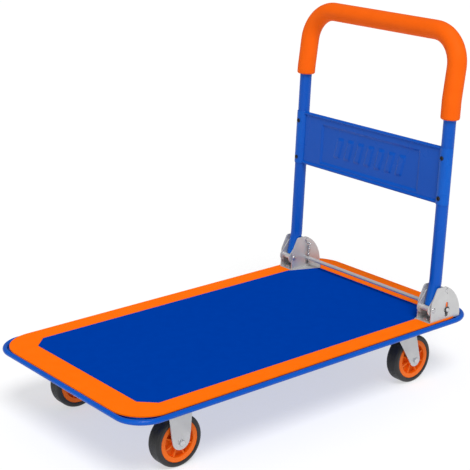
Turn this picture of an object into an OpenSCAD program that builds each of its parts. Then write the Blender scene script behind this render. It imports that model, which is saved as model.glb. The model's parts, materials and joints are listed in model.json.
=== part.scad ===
// Folding platform cart: a pressed steel deck with a two-colour mat, a hoop handle that folds flat
// over the deck, two rigid casters at the front and two swivel casters under the handle.
// Origin: middle of the deck's outline, on the floor. +X points to the handle end, +Z up.

/* [Deck] */
// Overall length of the deck, over the rolled rim
deck_length = 845; // [760:5:1000]
// Overall width of the deck, over the rolled rim
deck_width = 476; // [430:2:600]
// Outer corner radius of the rim
corner_r = 58; // [50:1:66]
// Diameter of the rolled bead that edges the deck
bead_d = 10; // [8:0.5:12]
// Width of the groove between the raised platform and the bead
groove_w = 6; // [5:0.5:9]
// Deck sheet thickness
sheet_t = 1.5; // [1:0.1:2]
// Height of the channels welded under the deck
member_h = 12.5; // [11:0.5:20]
// Sheet thickness of those channels
member_t = 2; // [1.5:0.1:3]

/* [Mat] */
// Mat thickness
mat_t = 3; // [2:0.5:5]
// Distance that the rim stands out past the mat at the ends
mat_inset_end = 6.5; // [5:0.5:10]
// Distance that the rim stands out past the mat at the sides
mat_inset_side = 8; // [6:0.5:10]
// Corner radius of the mat
mat_corner_r = 68; // [60:1:80]
// Width of the coloured border at the front
border_front = 52; // [40:1:60]
// Width of the coloured border at the handle end
border_rear = 60; // [50:1:66]
// Width of the coloured border along the sides
border_side = 40; // [36:1:44]
// Corner cut of the centre field
field_cut = 28; // [15:1:40]

/* [Handle] */
// Distance from a side of the deck in to the centre line of an upright
leg_inset = 29.75; // [29.5:0.25:60]
// Outside diameter of the handle tube
tube_d = 25; // [22:0.5:25]
// Wall of the handle tube
tube_wall = 1.5; // [1:0.1:2]
// Rise from the hinge to the lower bend
foot_rise = 50; // [44:1:60]
// Lean of the foot of the handle, from the vertical
foot_lean = 12.9; // [8:0.1:16]
// Distance from the hinge pin back to the foot of the tube
foot_offset = 10.5; // [9:0.5:12]
// Rise from the lower bend to the upper bend
upright_rise = 365; // [310:5:440]
// Lean of the uprights
upright_lean = 3.4; // [2:0.1:5]
// Rise from the upper bend to the top bar
top_rise = 125; // [105:5:150]
// Lean of the top of the handle
top_lean = 8.7; // [6:0.1:12]
// Centre-line radius of the two top corners
hoop_r = 65; // [50:1:80]
// Centre-line radius of the shallow bends in the legs
bend_r = 80; // [60:5:100]
// Outside diameter of the foam grip
grip_d = 38; // [32:1:42]
// How far the grip runs down the left leg below the upper bend
grip_drop_left = 8; // [0:1:40]
// How far the grip runs down the right leg below the upper bend
grip_drop_right = 34; // [0:1:60]
// Height of the panel between the uprights
panel_h = 113.5; // [90:0.5:130]
// Distance from the upper bend down to the upper edge of the panel
panel_drop = 92; // [60:1:120]
// Thickness of the panel's sheet
panel_t = 1.2; // [0.8:0.1:2]
// Diameter of the rolled edges of the panel
panel_roll_d = 6; // [4:0.5:8]
// Depth of the pressed field in the panel
press_depth = 2; // [1:0.5:4]
// Distance from an upright's centre line to the pressed field
press_inset = 67.25; // [50:0.25:90]

/* [Hinge brackets] */
// Length of a bracket's cheek along the deck
cheek_length = 86.5; // [84:0.5:95]
// Height of a cheek
cheek_height = 74; // [70:1:80]
// Radius of a cheek's rounded back
cheek_r = 70; // [69:0.5:76]
// Thickness of the bracket's sheet
cheek_t = 2.5; // [2:0.1:3]
// Clearance between a lock cam and the cheek beside it
cheek_play = 1.1; // [0.5:0.1:2.5]
// Distance from a cheek's back to the handle end of the deck
bracket_inset = 39; // [34:1:50]
// Distance from a cheek's front edge to the hinge pin
pin_setback = 10.5; // [9:0.5:12]
// Height of the hinge pin above the deck's sheet
pin_rise = 28; // [27:0.5:31]
// Diameter of the hinge pin
pin_d = 7; // [6:0.5:8]
// Outside diameter of the hinge sleeve
sleeve_d = 11; // [10:0.5:13]
// Diameter of the release rod
rod_d = 8; // [6:0.5:8]
// Distance from the hinge pin back to the release rod
rod_setback = 37.5; // [36:0.5:42]
// Height of the release rod above the deck's sheet
rod_rise = 21.5; // [20:0.5:23]
// Travel of the release rod under the foot
rod_travel = 8; // [5:0.5:8]
// Reach of the lock cam from the hinge pin
cam_reach = 33; // [28:0.5:33]

/* [Casters] */
// Wheel diameter
wheel_d = 100; // [90:1:125]
// Wheel width
wheel_w = 30; // [24:1:36]
// Thickness of the tyre
tyre_t = 10; // [7:0.5:16]
// Gap between the wheel and the fork above it
wheel_gap = 16.5; // [14:0.5:24]
// Distance from a side of the deck in to the middle of a wheel
wheel_inset = 75; // [60:1:110]
// Distance from the front end of the deck back to the front axle
front_overhang = 138.5; // [100:0.5:180]
// Distance from the handle end of the deck to the swivel axis
rear_overhang = 142.5; // [120:0.5:180]
// Trail of the swivel casters
trail = 28; // [20:1:35]
// Axle bolt diameter
axle_d = 6; // [5:0.5:8]
// Fork sheet thickness
fork_t = 2.5; // [2:0.1:3.5]
// Caster top plate length
plate_length = 95; // [84:1:104]
// Caster top plate width
plate_width = 70; // [64:1:80]
// Thickness of the caster top plates
plate_t = 3; // [2:0.1:4]
// Height of the ball race between plate and swivel fork
race_h = 6; // [5:0.5:8]
// Number of ribs in a hub
hub_ribs = 8; // [5:1:10]

/* [Hidden] */
$fn = 96;

eps = 0.01;              // overlap of shapes that are fused
fit = 0.05;              // radial clearance of a pin in its hole
hole_play = 0.25;        // radial clearance of a bolt in a plain hole
gap = 0.4;               // clearance between neighbouring faces that move
proud = 0.25;            // step by which a bend stands proud of the straight runs it takes in
lap = 0.3;               // how far a straight run reaches into the bend at its end
left = 1;                // +Y side
right = -1;              // -Y side

paint_blue = [0.00, 0.30, 0.78];
mat_blue = [0.00, 0.22, 0.66];
orange = [1.00, 0.45, 0.00];
zinc = [0.70, 0.70, 0.69];
steel = [0.55, 0.55, 0.57];
dark = [0.10, 0.10, 0.12];
rubber = [0.09, 0.09, 0.09];

// Heights, from the floor up
axle_z = wheel_d / 2;
crown_z = wheel_d + wheel_gap;
plate_z = crown_z + fork_t + race_h;
member_z = plate_z + plate_t;
sheet_z = member_z + member_h;
mat_z = sheet_z + sheet_t;

// Deck outline
bead_z = mat_z - bead_d / 2;
path_l = deck_length - bead_d;
path_w = deck_width - bead_d;
path_r = corner_r - bead_d / 2;
platform_l = deck_length - 2 * (bead_d + groove_w);
platform_w = deck_width - 2 * (bead_d + groove_w);
platform_r = corner_r - bead_d - groove_w;
mat_l = deck_length - 2 * mat_inset_end;
mat_w = deck_width - 2 * mat_inset_side;
field_l = mat_l - border_front - border_rear;
field_w = mat_w - 2 * border_side;
field_x = (border_front - border_rear) / 2;

// Places of the casters, from the middle of the deck
track = deck_width - 2 * wheel_inset;
front_axle_x = deck_length / 2 - front_overhang;
swivel_x = deck_length / 2 - rear_overhang;

// Under the deck
member_margin = 7.5;     // how far a member stands out past a caster plate, along the deck
member_end = 32;         // how far a member reaches past the middle of a wheel, across the deck
member_w = plate_length + 2 * member_margin;
member_span = track + 2 * member_end;
rib_w = 40;
rib_pitch = 115;
rib_l = front_axle_x + swivel_x - member_w;
rib_x = (swivel_x - front_axle_x) / 2;

// Hinge
cam_t = 2.5;
handle_span = deck_width - 2 * leg_inset;
cheek_gap = tube_d + 2 * (gap + cam_t + cheek_play);
leg_y = handle_span / 2;
cheek_x = deck_length / 2 - bracket_inset - cheek_length;
cheek_in = leg_y - cheek_gap / 2;
cheek_out = leg_y + cheek_gap / 2;
pin_x = cheek_x + pin_setback;
pin_z = mat_z + pin_rise;
pin_head_h = 2.5;
rod_x = pin_x + rod_setback;
rod_z = mat_z + rod_rise;
slot_play = 0.35;        // radial clearance of the release rod in its slots
slot_low = rod_z - rod_travel - 3;
slot_high = rod_z + 11.5;
slot_r = rod_d / 2 + slot_play;
bolt_front = 13;         // from a cheek's front edge to the first base bolt
bolt_back = 12;          // from a cheek's back edge to the second base bolt
base_bolt_x = [cheek_x + bolt_front, cheek_x + cheek_length - bolt_back];
base_room = 0.5;         // clearance between a bracket's base and the mat
m8_d = 8;
m8_af = 13;
m8_corner = m8_af / cos(30);
m8_head = 5.5;
m8_nut = 6.5;
m8_past = 2;             // how far a bolt's end stands out of its nut
flange_w = 30;
flange_slant = 26;       // how far back the flange's inner edge runs at its slanted end
flange_lip = 7;          // how far the flange stands forward of the cheeks

// Stop pin: it lies behind the foot of the handle and touches nothing at rest
stop_d = 6;
stop_head_h = 1.5;
stop_along = 40.5;
stop_off = tube_d / 2 + stop_d / 2 + gap;
stop_x = pin_x + foot_offset + stop_along * sin(foot_lean) + stop_off * cos(foot_lean);
stop_z = pin_z + stop_along * cos(foot_lean) - stop_off * sin(foot_lean);

// Springs
coil_d = 7;
wire_d = 1.2;
anchor_d = 3;
anchor_head_d = 5;
anchor_drop = 18;        // from a cheek's top down to the spring anchor
anchor_z = mat_z + cheek_height - anchor_drop;
coil_room = 1;           // clearance between a spring and the cheek, and above the rod
spring_y = cheek_in - cheek_t - coil_d / 2 - coil_room;
spring_low = rod_z + rod_d / 2 + coil_room;
spring_high = anchor_z - anchor_d;

// Handle centre line, hinge pin first
foot_x = pin_x + foot_offset + foot_rise * tan(foot_lean);
foot_z = pin_z + foot_rise;
neck_x = foot_x + upright_rise * tan(upright_lean);
neck_z = foot_z + upright_rise;
bar_x = neck_x + top_rise * tan(top_lean);
bar_z = neck_z + top_rise;
foot_trim = bend_r * tan((foot_lean - upright_lean) / 2);
neck_trim = bend_r * tan((top_lean - upright_lean) / 2);
foot_len = foot_rise / cos(foot_lean);
upright_len = upright_rise / cos(upright_lean);
top_len = top_rise / cos(top_lean);
tube_r = tube_d / 2;
foot_start = 4;          // where the tube begins, along its foot from the height of the pin

// Panel
wrap_gap = 0.1;
panel_start = (upright_rise - panel_drop - panel_h) / cos(upright_lean);
panel_flat = handle_span - tube_d - 2 * wrap_gap;
press_l = handle_span - 2 * press_inset;
press_low = 12.5;
press_high = 19.5;       // from the pressed field up to the panel's upper edge
press_h = panel_h - press_low - press_high;
bar_pitch = 30;
bar_w = 13;
bar_h = 34;
bar_slant = 10;
bar_count = floor(press_l / bar_pitch) - 2;
screw_d = 4;
screw_head_d = 9;
screw_head_h = 2.4;
screw_low = 13;
screw_high = 20.5;

// Casters
fork_play = 2.5;         // clearance between a wheel and a fork leg
leg_gap = wheel_w / 2 + fork_play;
tyre_r = wheel_d / 2;
hub_r = tyre_r - tyre_t;
bush_wall = 2;
bush_r = axle_d / 2 + bush_wall;
snug = 0.02;             // radial clearance of a pressed-in part
hub_bore = bush_r + snug;
axle_af = 10;
axle_head = 4;
axle_nut = 5;
hole_inset = 10;         // from a caster plate's edge to its bolts
plate_hole_x = plate_length - 2 * hole_inset;
plate_hole_y = plate_width - 2 * hole_inset;
plate_corner_r = 8;
kingpin_d = 12;
kingpin_top_d = 17;
kingpin_head_d = 22;
race_r = 19;
ball_d = race_h - 2 * gap;
ball_count = 16;
skirt_r = 27;
skirt_t = 2.5;
leg_clear = 3;           // clearance between a rigid leg and the plate nuts
swing_clear = 3.15;      // clearance between the turning crown and the plate nuts
swing_r = norm([plate_hole_x, plate_hole_y]) / 2 - m8_corner / 2 - swing_clear;
crown_back = sqrt(pow(swing_r, 2) - pow(leg_gap + fork_t, 2));
front_fork_w = plate_hole_x - m8_corner - 2 * leg_clear;
front_fork_waist = front_fork_w - 12;
fork_foot_r = 19;
fork_foot_lift = 5;      // from the axle up to the centre of a rigid leg's round foot
swivel_foot_r = 13.5;
rear_axle_x = swivel_x + trail;

// --- Shapes that repeat -----------------------------------------------------------------------

// Copies its children to four corners
module at_corners(x, y) {
    for (sx = [-1, 1], sy = [-1, 1])
        translate([sx * x, sy * y, 0])
            children();
}

// Flat outline with round corners
module round_rect(l, w, r) {
    square([l, w - 2 * r], center = true);
    square([l - 2 * r, w], center = true);
    at_corners(l / 2 - r, w / 2 - r)
        circle(r = r);
}

// Slab with round corners, its underside at z = 0
module round_slab(l, w, r, h) {
    linear_extrude(h)
        round_rect(l, w, r);
}

// Cylinder along Y between two places
module y_rod(d, y0, y1, fn = 96) {
    translate([0, y0, 0])
        rotate([-90, 0, 0])
            cylinder(d = d, h = y1 - y0, $fn = fn);
}

// Flat shape drawn in X and Z, given a thickness along Y from y0
module xz_plate(y0, t) {
    translate([0, y0 + t, 0])
        rotate([90, 0, 0])
            linear_extrude(t)
                children();
}

// Hexagon prism across flats af
module hex(af, h) {
    cylinder(d = af / cos(30), h = h, $fn = 6);
}

// Hexagon prism with its axis along Y
module y_hex(af, y0, y1) {
    translate([0, y0, 0])
        rotate([-90, 0, 0])
            hex(af, y1 - y0);
}

// Draws for +Y, or for -Y when side is right
module on_side(side) {
    mirror([0, side == right ? 1 : 0, 0])
        children();
}

// Point just inside a circle of radius r about the origin, on the +X side, where a line from (x, y)
// would almost touch it
function touch(x, y, r) =
    let (q = r - 0.05, a = atan2(y, x) - acos(q / norm([x, y])))
    [q * cos(a), q * sin(a)];

// --- Deck --------------------------------------------------------------------------------------

// Closed round bar that follows the deck's outline
module bead() {
    for (s = [-1, 1]) {
        translate([-path_l / 2 + path_r, s * path_w / 2, 0])
            rotate([0, 90, 0])
                cylinder(d = bead_d, h = path_l - 2 * path_r);
        translate([s * path_l / 2, 0, 0])
            y_rod(bead_d, -path_w / 2 + path_r, path_w / 2 - path_r);
    }
    for (q = [[1, 1, 0], [-1, 1, 90], [-1, -1, 180], [1, -1, 270]])
        translate([q[0] * (path_l / 2 - path_r), q[1] * (path_w / 2 - path_r), 0])
            rotate([0, 0, q[2]])
                rotate_extrude(angle = 90)
                    translate([path_r, 0])
                        circle(d = bead_d);
}

// Holes for the bracket bolts, through everything between z0 and z0 + h
module bracket_holes(z0, h) {
    for (side = [-1, 1], x = base_bolt_x)
        translate([x, side * leg_y, z0])
            cylinder(d = m8_d + 2 * hole_play, h = h);
}

module deck_pan() {
    groove_z = bead_z - bead_d / 2;
    color(paint_blue)
        difference() {
            union() {
                translate([0, 0, sheet_z])
                    round_slab(platform_l, platform_w, platform_r, sheet_t);
                translate([0, 0, groove_z])
                    difference() {
                        round_slab(path_l, path_w, path_r, sheet_t);
                        translate([0, 0, -1])
                            round_slab(platform_l - 2 * sheet_t, platform_w - 2 * sheet_t,
                                       platform_r - sheet_t, sheet_t + 2);
                    }
                translate([0, 0, groove_z])
                    difference() {
                        round_slab(platform_l, platform_w, platform_r, sheet_z - groove_z + eps);
                        translate([0, 0, -1])
                            round_slab(platform_l - 2 * sheet_t, platform_w - 2 * sheet_t,
                                       platform_r - sheet_t, sheet_z - groove_z + 2);
                    }
                translate([0, 0, bead_z])
                    bead();
            }
            bracket_holes(sheet_z - 1, sheet_t + 2);
        }
}

// Open channel, its web down, along X
module channel(l, w, h, t) {
    translate([-l / 2, -w / 2, 0])
        cube([l, w, t]);
    for (y = [-w / 2, w / 2 - t])
        translate([-l / 2, y, 0])
            cube([l, t, h]);
}

// Bolt places of one caster plate
module plate_places() {
    at_corners(plate_hole_x / 2, plate_hole_y / 2)
        children();
}

module cross_member(x) {
    color(paint_blue)
        difference() {
            translate([x, 0, member_z])
                rotate([0, 0, 90])
                    channel(member_span, member_w, member_h, member_t);
            for (side = [-1, 1])
                translate([x, side * track / 2, member_z - 1])
                    plate_places()
                        cylinder(d = m8_d + 2 * hole_play, h = member_t + 2);
        }
}

module cross_member_front() { cross_member(-front_axle_x); }
module cross_member_rear() {
    difference() {
        cross_member(swivel_x);
        for (side = [-1, 1])
            translate([swivel_x, side * track / 2, member_z - 1])
                cylinder(d = kingpin_top_d + 1, h = member_t + 2);
    }
}

module deck_ribs() {
    color(paint_blue)
        for (y = [-rib_pitch, 0, rib_pitch])
            translate([rib_x, y, member_z])
                channel(rib_l, rib_w, member_h, member_t);
}

// --- Mat ---------------------------------------------------------------------------------------

// Rectangle with its corners cut
module field_outline() {
    hx = field_l / 2;
    hy = field_w / 2;
    c = field_cut;
    translate([field_x, 0])
        polygon([[hx - c, hy], [c - hx, hy], [-hx, hy - c], [-hx, c - hy],
                 [c - hx, -hy], [hx - c, -hy], [hx, c - hy], [hx, hy - c]]);
}

// Room in the mat for the bases of the two brackets
module base_cutouts() {
    for (side = [left, right])
        mirror([0, side == right ? 1 : 0])
            base_outline(base_room);
}

module mat_border() {
    color(orange)
        translate([0, 0, mat_z])
            linear_extrude(mat_t)
                difference() {
                    round_rect(mat_l, mat_w, mat_corner_r);
                    field_outline();
                    base_cutouts();
                }
}

module mat_centre() {
    color(mat_blue)
        translate([0, 0, mat_z])
            linear_extrude(mat_t)
                difference() {
                    field_outline();
                    base_cutouts();
                }
}

// --- Hinge brackets ----------------------------------------------------------------------------

// Side view of a cheek: upright front, slanted throat, round back
module cheek_outline() {
    throat = cheek_height - 32;
    back = 7;
    heel = 5;
    intersection() {
        translate([cheek_x + cheek_length - cheek_r, mat_z + back])
            circle(r = cheek_r);
        translate([cheek_x, mat_z])
            square([cheek_length, cheek_height]);
        translate([cheek_x, mat_z])
            polygon([[2.5, 0], [cheek_length, 0], [cheek_length, cheek_height + 10],
                     [25, cheek_height + 10], [20.5, cheek_height - 1.5], [4.5, throat]]);
    }
    translate([cheek_x + cheek_length - heel, mat_z])
        square([heel, back]);
}

// Upright slot that guides the release rod
module rod_slot() {
    translate([rod_x - slot_r, slot_low])
        square([2 * slot_r, slot_high - slot_low]);
    for (z = [slot_low, slot_high])
        translate([rod_x, z])
            circle(r = slot_r);
}

module cheek(y0) {
    xz_plate(y0, cheek_t)
        difference() {
            cheek_outline();
            rod_slot();
            translate([pin_x, pin_z])
                circle(d = pin_d + 2 * fit);
            translate([stop_x, stop_z])
                circle(d = stop_d + 2 * fit);
            translate([rod_x, anchor_z])
                circle(d = anchor_d + 2 * fit);
        }
}

// Outline of a bracket's base with its slanted inner flange, grown by g all round
module base_outline(g) {
    x0 = cheek_x - g;
    x1 = cheek_x + cheek_length + g;
    yi = cheek_in - cheek_t;
    yo = cheek_out + cheek_t + g;
    polygon([[x0, yo], [x1, yo], [x1, yi], [x1 - flange_slant, yi - flange_w - g],
             [x0 - flange_lip - g, yi - 1 - g], [x0, yi + 1]]);
}

module bracket(side) {
    color(zinc)
        on_side(side) {
            cheek(cheek_in - cheek_t);
            cheek(cheek_out);
            difference() {
                translate([0, 0, mat_z])
                    linear_extrude(cheek_t)
                        base_outline(0);
                bracket_holes(mat_z - 1, cheek_t + 2);
            }
        }
}

module bracket_left() { bracket(left); }
module bracket_right() { bracket(right); }

module bracket_bolts() {
    color(steel)
        for (side = [-1, 1], x = base_bolt_x)
            translate([x, side * leg_y, 0]) {
                translate([0, 0, mat_z + cheek_t])
                    hex(m8_af, m8_head);
                translate([0, 0, sheet_z - m8_nut - m8_past])
                    cylinder(d = m8_d, h = m8_past + m8_nut + sheet_t + cheek_t + 1);
            }
}

module bracket_nuts() {
    color(steel)
        for (side = [-1, 1], x = base_bolt_x)
            translate([x, side * leg_y, sheet_z - m8_nut])
                difference() {
                    hex(m8_af, m8_nut);
                    translate([0, 0, -1])
                        cylinder(d = m8_d + 2 * fit, h = m8_nut + 2);
                }
}

// Pin across one bracket, with a riveted head at each end
module bracket_pin(d, head_d, head_h) {
    y_rod(d, cheek_in - cheek_t - head_h, cheek_out + cheek_t + head_h);
    y_rod(head_d, cheek_in - cheek_t - head_h, cheek_in - cheek_t);
    y_rod(head_d, cheek_out + cheek_t, cheek_out + cheek_t + head_h);
}

module hinge_pins() {
    color(steel)
        for (side = [left, right])
            on_side(side)
                translate([pin_x, 0, pin_z])
                    bracket_pin(pin_d, pin_d + 4, pin_head_h);
}

module stop_pins() {
    color(steel)
        for (side = [left, right])
            on_side(side)
                translate([stop_x, 0, stop_z])
                    bracket_pin(stop_d, stop_d + 3, stop_head_h);
}

module spring_anchors() {
    head_y = cheek_in - cheek_t - coil_d - 3 * coil_room;
    color(steel)
        for (side = [left, right])
            on_side(side)
                translate([rod_x, 0, anchor_z]) {
                    y_rod(anchor_d, head_y, cheek_in);
                    y_rod(anchor_head_d, head_y - 1, head_y + eps);
                }
}

// --- Handle ------------------------------------------------------------------------------------

// Wall of a tube, seen along it
module ring(r, bore) {
    difference() {
        circle(r = r);
        circle(r = bore);
    }
}

// Straight run of the handle from (x, z), leaning by a, in the plane of one leg
module run(x, z, a, len, r, bore) {
    translate([x, 0, z])
        rotate([0, a, 0])
            translate([0, 0, -lap])
                linear_extrude(len + 2 * lap)
                    ring(r, bore);
}

// Round bend in the leg's plane that starts at (x, z) with lean a0 and ends with lean a1
module leg_bend(x, z, a0, a1, r, bore) {
    turn = a1 > a0 ? 1 : -1;
    translate([x + turn * bend_r * cos(a0), 0, z - turn * bend_r * sin(a0)])
        rotate([90, 0, 0])
            rotate([0, 0, turn > 0 ? 180 - a1 : -a0])
                rotate_extrude(angle = abs(a1 - a0))
                    translate([bend_r, 0])
                        ring(r + proud, bore - proud);
}

// Lower part of one leg: foot, lower bend and upright
module leg_low(r, bore, from) {
    a0 = foot_lean;
    a1 = upright_lean;
    run(pin_x + foot_offset + from * sin(a0), pin_z + from * cos(a0), a0,
        foot_len - foot_trim - from, r, bore);
    leg_bend(foot_x - foot_trim * sin(a0), foot_z - foot_trim * cos(a0), a0, a1, r, bore);
    run(foot_x + foot_trim * sin(a1), foot_z + foot_trim * cos(a1), a1,
        upright_len - foot_trim - neck_trim, r, bore);
}

// Upper part of one leg: upper bend and the run up to the top corner
module leg_high(r, bore) {
    a1 = upright_lean;
    a2 = top_lean;
    leg_bend(neck_x - neck_trim * sin(a1), neck_z - neck_trim * cos(a1), a1, a2, r, bore);
    run(neck_x + neck_trim * sin(a2), neck_z + neck_trim * cos(a2), a2,
        top_len - hoop_r - neck_trim, r, bore);
}

// The two top corners and the bar between them
module hoop(r, bore) {
    translate([bar_x, 0, bar_z])
        rotate([0, top_lean, 0]) {
            translate([0, hoop_r - leg_y - lap, 0])
                rotate([-90, 0, 0])
                    linear_extrude(2 * (leg_y - hoop_r + lap))
                        ring(r, bore);
            for (s = [left, right])
                on_side(s)
                    translate([0, leg_y - hoop_r, -hoop_r])
                        rotate([90, 0, 90])
                            rotate_extrude(angle = 90)
                                translate([hoop_r, 0])
                                    ring(r + proud, bore - proud);
        }
}

module handle_tube() {
    bore = tube_r - tube_wall;
    color(paint_blue)
        difference() {
            union() {
                for (s = [-1, 1])
                    translate([0, s * leg_y, 0]) {
                        leg_low(tube_r, bore, foot_start);
                        leg_high(tube_r, bore);
                    }
                hoop(tube_r, bore);
            }
            for (s = [left, right])
                on_side(s)
                    translate([pin_x, 0, pin_z])
                        y_rod(sleeve_d + 2 * fit, leg_y - tube_r - 1, leg_y + tube_r + 1);
            screw_places()
                translate([0, 0, -tube_r - 1])
                    cylinder(d = screw_d + 2 * fit, h = tube_r);
        }
}

module hinge_sleeves() {
    color(zinc)
        for (s = [left, right])
            on_side(s)
                translate([pin_x, 0, pin_z])
                    difference() {
                        y_rod(sleeve_d, cheek_in + gap, cheek_out - gap);
                        y_rod(pin_d + 2 * fit, cheek_in, cheek_out);
                    }
}

// Side view of a lock cam: it runs up the foot of the tube and reaches back towards the rod
module cam_outline() {
    up = 34;
    down = 6;
    half = 9.5;
    difference() {
        union() {
            circle(r = 12.5);
            translate([foot_offset, 0])
                rotate(-foot_lean)
                    translate([-half, -down])
                        square([2 * half, up + down]);
            intersection() {
                circle(r = cam_reach);
                polygon([[0, -11], [cam_reach + 5, -17], [cam_reach + 5, 4], [4, 12]]);
            }
        }
        circle(d = sleeve_d + 2 * fit);
    }
}

module lock_cams() {
    color(zinc)
        for (s = [left, right], face = [-tube_r - gap - cam_t, tube_r + gap])
            on_side(s)
                translate([pin_x, 0, pin_z])
                    xz_plate(leg_y + face, cam_t)
                        cam_outline();
}

// One leg of the grip, running down the upright by drop below the upper bend
module grip_leg(r, bore, drop) {
    d = neck_trim + drop;
    run(neck_x - d * sin(upright_lean), neck_z - d * cos(upright_lean), upright_lean, drop, r, bore);
    leg_high(r, bore);
}

module handle_grip() {
    r = grip_d / 2;
    bore = tube_r + 2 * proud + fit;
    color(orange)
        union() {
            translate([0, leg_y, 0])
                grip_leg(r, bore, grip_drop_left);
            translate([0, -leg_y, 0])
                grip_leg(r, bore, grip_drop_right);
            hoop(r, bore);
        }
}

// Frame of the panel: X across the sheet, Y across the cart, Z along the uprights
module panel_frame() {
    translate([foot_x, 0, foot_z])
        rotate([0, upright_lean, 0])
            translate([0, 0, panel_start])
                children();
}

// Places of the panel screws, each with -Z pointing out of the front of the tube
module screw_places() {
    panel_frame()
        for (s = [-1, 1], z = [screw_low, panel_h - screw_high])
            translate([0, s * leg_y, z])
                rotate([0, 90, 0])
                    children();
}

// Slanted bars pressed into the middle of the panel
module pressed_bars() {
    half = bar_w / 2;
    shift = bar_slant / 2;
    for (i = [0 : bar_count - 1])
        translate([0, (i - (bar_count - 1) / 2) * bar_pitch, 0])
            translate([-panel_t / 2, 0, press_low + (press_h - bar_h) / 2])
                rotate([90, 0, 90])
                    linear_extrude(press_depth + panel_t)
                        polygon([[-half - shift, 0], [half - shift, 0],
                                 [half + shift, bar_h], [shift - half, bar_h]]);
}

module cross_panel() {
    wrap_r = tube_r + wrap_gap;
    color(paint_blue)
        difference() {
            panel_frame() {
                difference() {
                    translate([-panel_t / 2, -panel_flat / 2, 0])
                        cube([panel_t, panel_flat, panel_h]);
                    translate([-panel_t, -press_l / 2, press_low])
                        cube([2 * panel_t, press_l, press_h]);
                }
                difference() {
                    translate([-panel_t / 2, -press_l / 2 - panel_t, press_low - panel_t])
                        cube([press_depth + panel_t, press_l + 2 * panel_t, press_h + 2 * panel_t]);
                    translate([-panel_t / 2 - 1, -press_l / 2, press_low])
                        cube([press_depth + 1, press_l, press_h]);
                }
                pressed_bars();
                for (z = [panel_roll_d / 2, panel_h - panel_roll_d / 2])
                    translate([0, 0, z])
                        y_rod(panel_roll_d, -panel_flat / 2 + 4, panel_flat / 2 - 4);
                for (s = [left, right])
                    on_side(s)
                        translate([0, leg_y, 0])
                            rotate([0, 0, 90])
                                rotate_extrude(angle = 180)
                                    translate([wrap_r, 0])
                                        square([panel_t, panel_h]);
            }
            screw_places()
                translate([0, 0, -tube_r - 4])
                    cylinder(d = screw_d + 2 * fit, h = 8);
        }
}

module panel_screws() {
    seat = tube_r + wrap_gap + panel_t;
    color(dark)
        screw_places() {
            translate([0, 0, -seat - screw_head_h])
                cylinder(d = screw_head_d, h = screw_head_h);
            translate([0, 0, -seat - eps])
                cylinder(d = screw_d, h = 8);
        }
}

// --- Release rod -------------------------------------------------------------------------------

module release_rod() {
    rod_end = cheek_out + cheek_t + 4;
    color(zinc)
        translate([rod_x, 0, rod_z])
            y_rod(rod_d, -rod_end, rod_end);
}

module rod_clips() {
    clip_y = cheek_out + cheek_t + gap;
    clip_t = 1.2;
    color(dark)
        for (s = [left, right])
            on_side(s)
                translate([rod_x, 0, rod_z])
                    difference() {
                        y_rod(rod_d + 5, clip_y, clip_y + clip_t);
                        y_rod(rod_d + 2 * fit, clip_y - 1, clip_y + clip_t + 1);
                    }
}

// Return spring, drawn as the tube that its coil fills
module spring(side) {
    color(steel)
        on_side(side)
            translate([rod_x, spring_y, spring_low])
                difference() {
                    cylinder(d = coil_d, h = spring_high - spring_low);
                    translate([0, 0, -1])
                        cylinder(d = coil_d - 2 * wire_d, h = spring_high - spring_low + 2);
                }
}

module spring_left() { spring(left); }
module spring_right() { spring(right); }

// --- Casters -----------------------------------------------------------------------------------

// Top plate with its four bolt holes, its underside at z = 0
module top_plate() {
    difference() {
        round_slab(plate_length, plate_width, plate_corner_r, plate_t);
        translate([0, 0, -1])
            plate_places()
                cylinder(d = m8_d + 2 * hole_play, h = plate_t + 2);
    }
}

// Fork leg of a rigid caster, seen from the side, with the axle at the origin
module rigid_leg_outline() {
    h = plate_z - axle_z + plate_t;
    waist = 16;
    lift = fork_foot_lift;
    t = touch(front_fork_waist / 2, waist - lift, fork_foot_r);
    polygon([[-front_fork_w / 2, h], [front_fork_w / 2, h], [front_fork_waist / 2, waist],
             [t[0], t[1] + lift], [-t[0], t[1] + lift], [-front_fork_waist / 2, waist]]);
    translate([0, lift])
        circle(r = fork_foot_r);
}

module rigid_fork(side) {
    color(zinc)
        on_side(side)
            translate([-front_axle_x, track / 2, 0]) {
                translate([0, 0, plate_z])
                    top_plate();
                for (y = [-leg_gap - fork_t, leg_gap])
                    translate([0, 0, axle_z])
                        xz_plate(y, fork_t)
                            difference() {
                                rigid_leg_outline();
                                circle(d = axle_d + 2 * fit);
                            }
            }
}

module rigid_fork_left() { rigid_fork(left); }
module rigid_fork_right() { rigid_fork(right); }

// Axle bolt, its head on the outer side
module axle() {
    y_rod(axle_d, -leg_gap - fork_t - axle_nut - 2, leg_gap + fork_t + 1);
    y_hex(axle_af, leg_gap + fork_t, leg_gap + fork_t + axle_head);
}

module axle_nut() {
    difference() {
        y_hex(axle_af, -leg_gap - fork_t - axle_nut, -leg_gap - fork_t);
        y_rod(axle_d + 2 * fit, -leg_gap - fork_t - axle_nut - 1, -leg_gap);
    }
}

// Puts its children at one wheel: the axle's middle becomes the origin
module at_wheel(x, side) {
    on_side(side)
        translate([x, track / 2, axle_z])
            children();
}

module rigid_axles() {
    color(steel)
        for (s = [left, right])
            at_wheel(-front_axle_x, s) axle();
}

module rigid_axle_nuts() {
    color(dark)
        for (s = [left, right])
            at_wheel(-front_axle_x, s) axle_nut();
}

module swivel_plate(side) {
    color(zinc)
        on_side(side)
            translate([swivel_x, track / 2, plate_z])
                difference() {
                    union() {
                        top_plate();
                        translate([0, 0, -race_h + gap])
                            difference() {
                                cylinder(r = skirt_r, h = race_h);
                                translate([0, 0, -1])
                                    cylinder(r = skirt_r - skirt_t, h = race_h + 1 - gap);
                            }
                    }
                    translate([0, 0, -race_h])
                        cylinder(d = kingpin_d + 2 * fit, h = race_h + plate_t + 1);
                }
}

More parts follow.
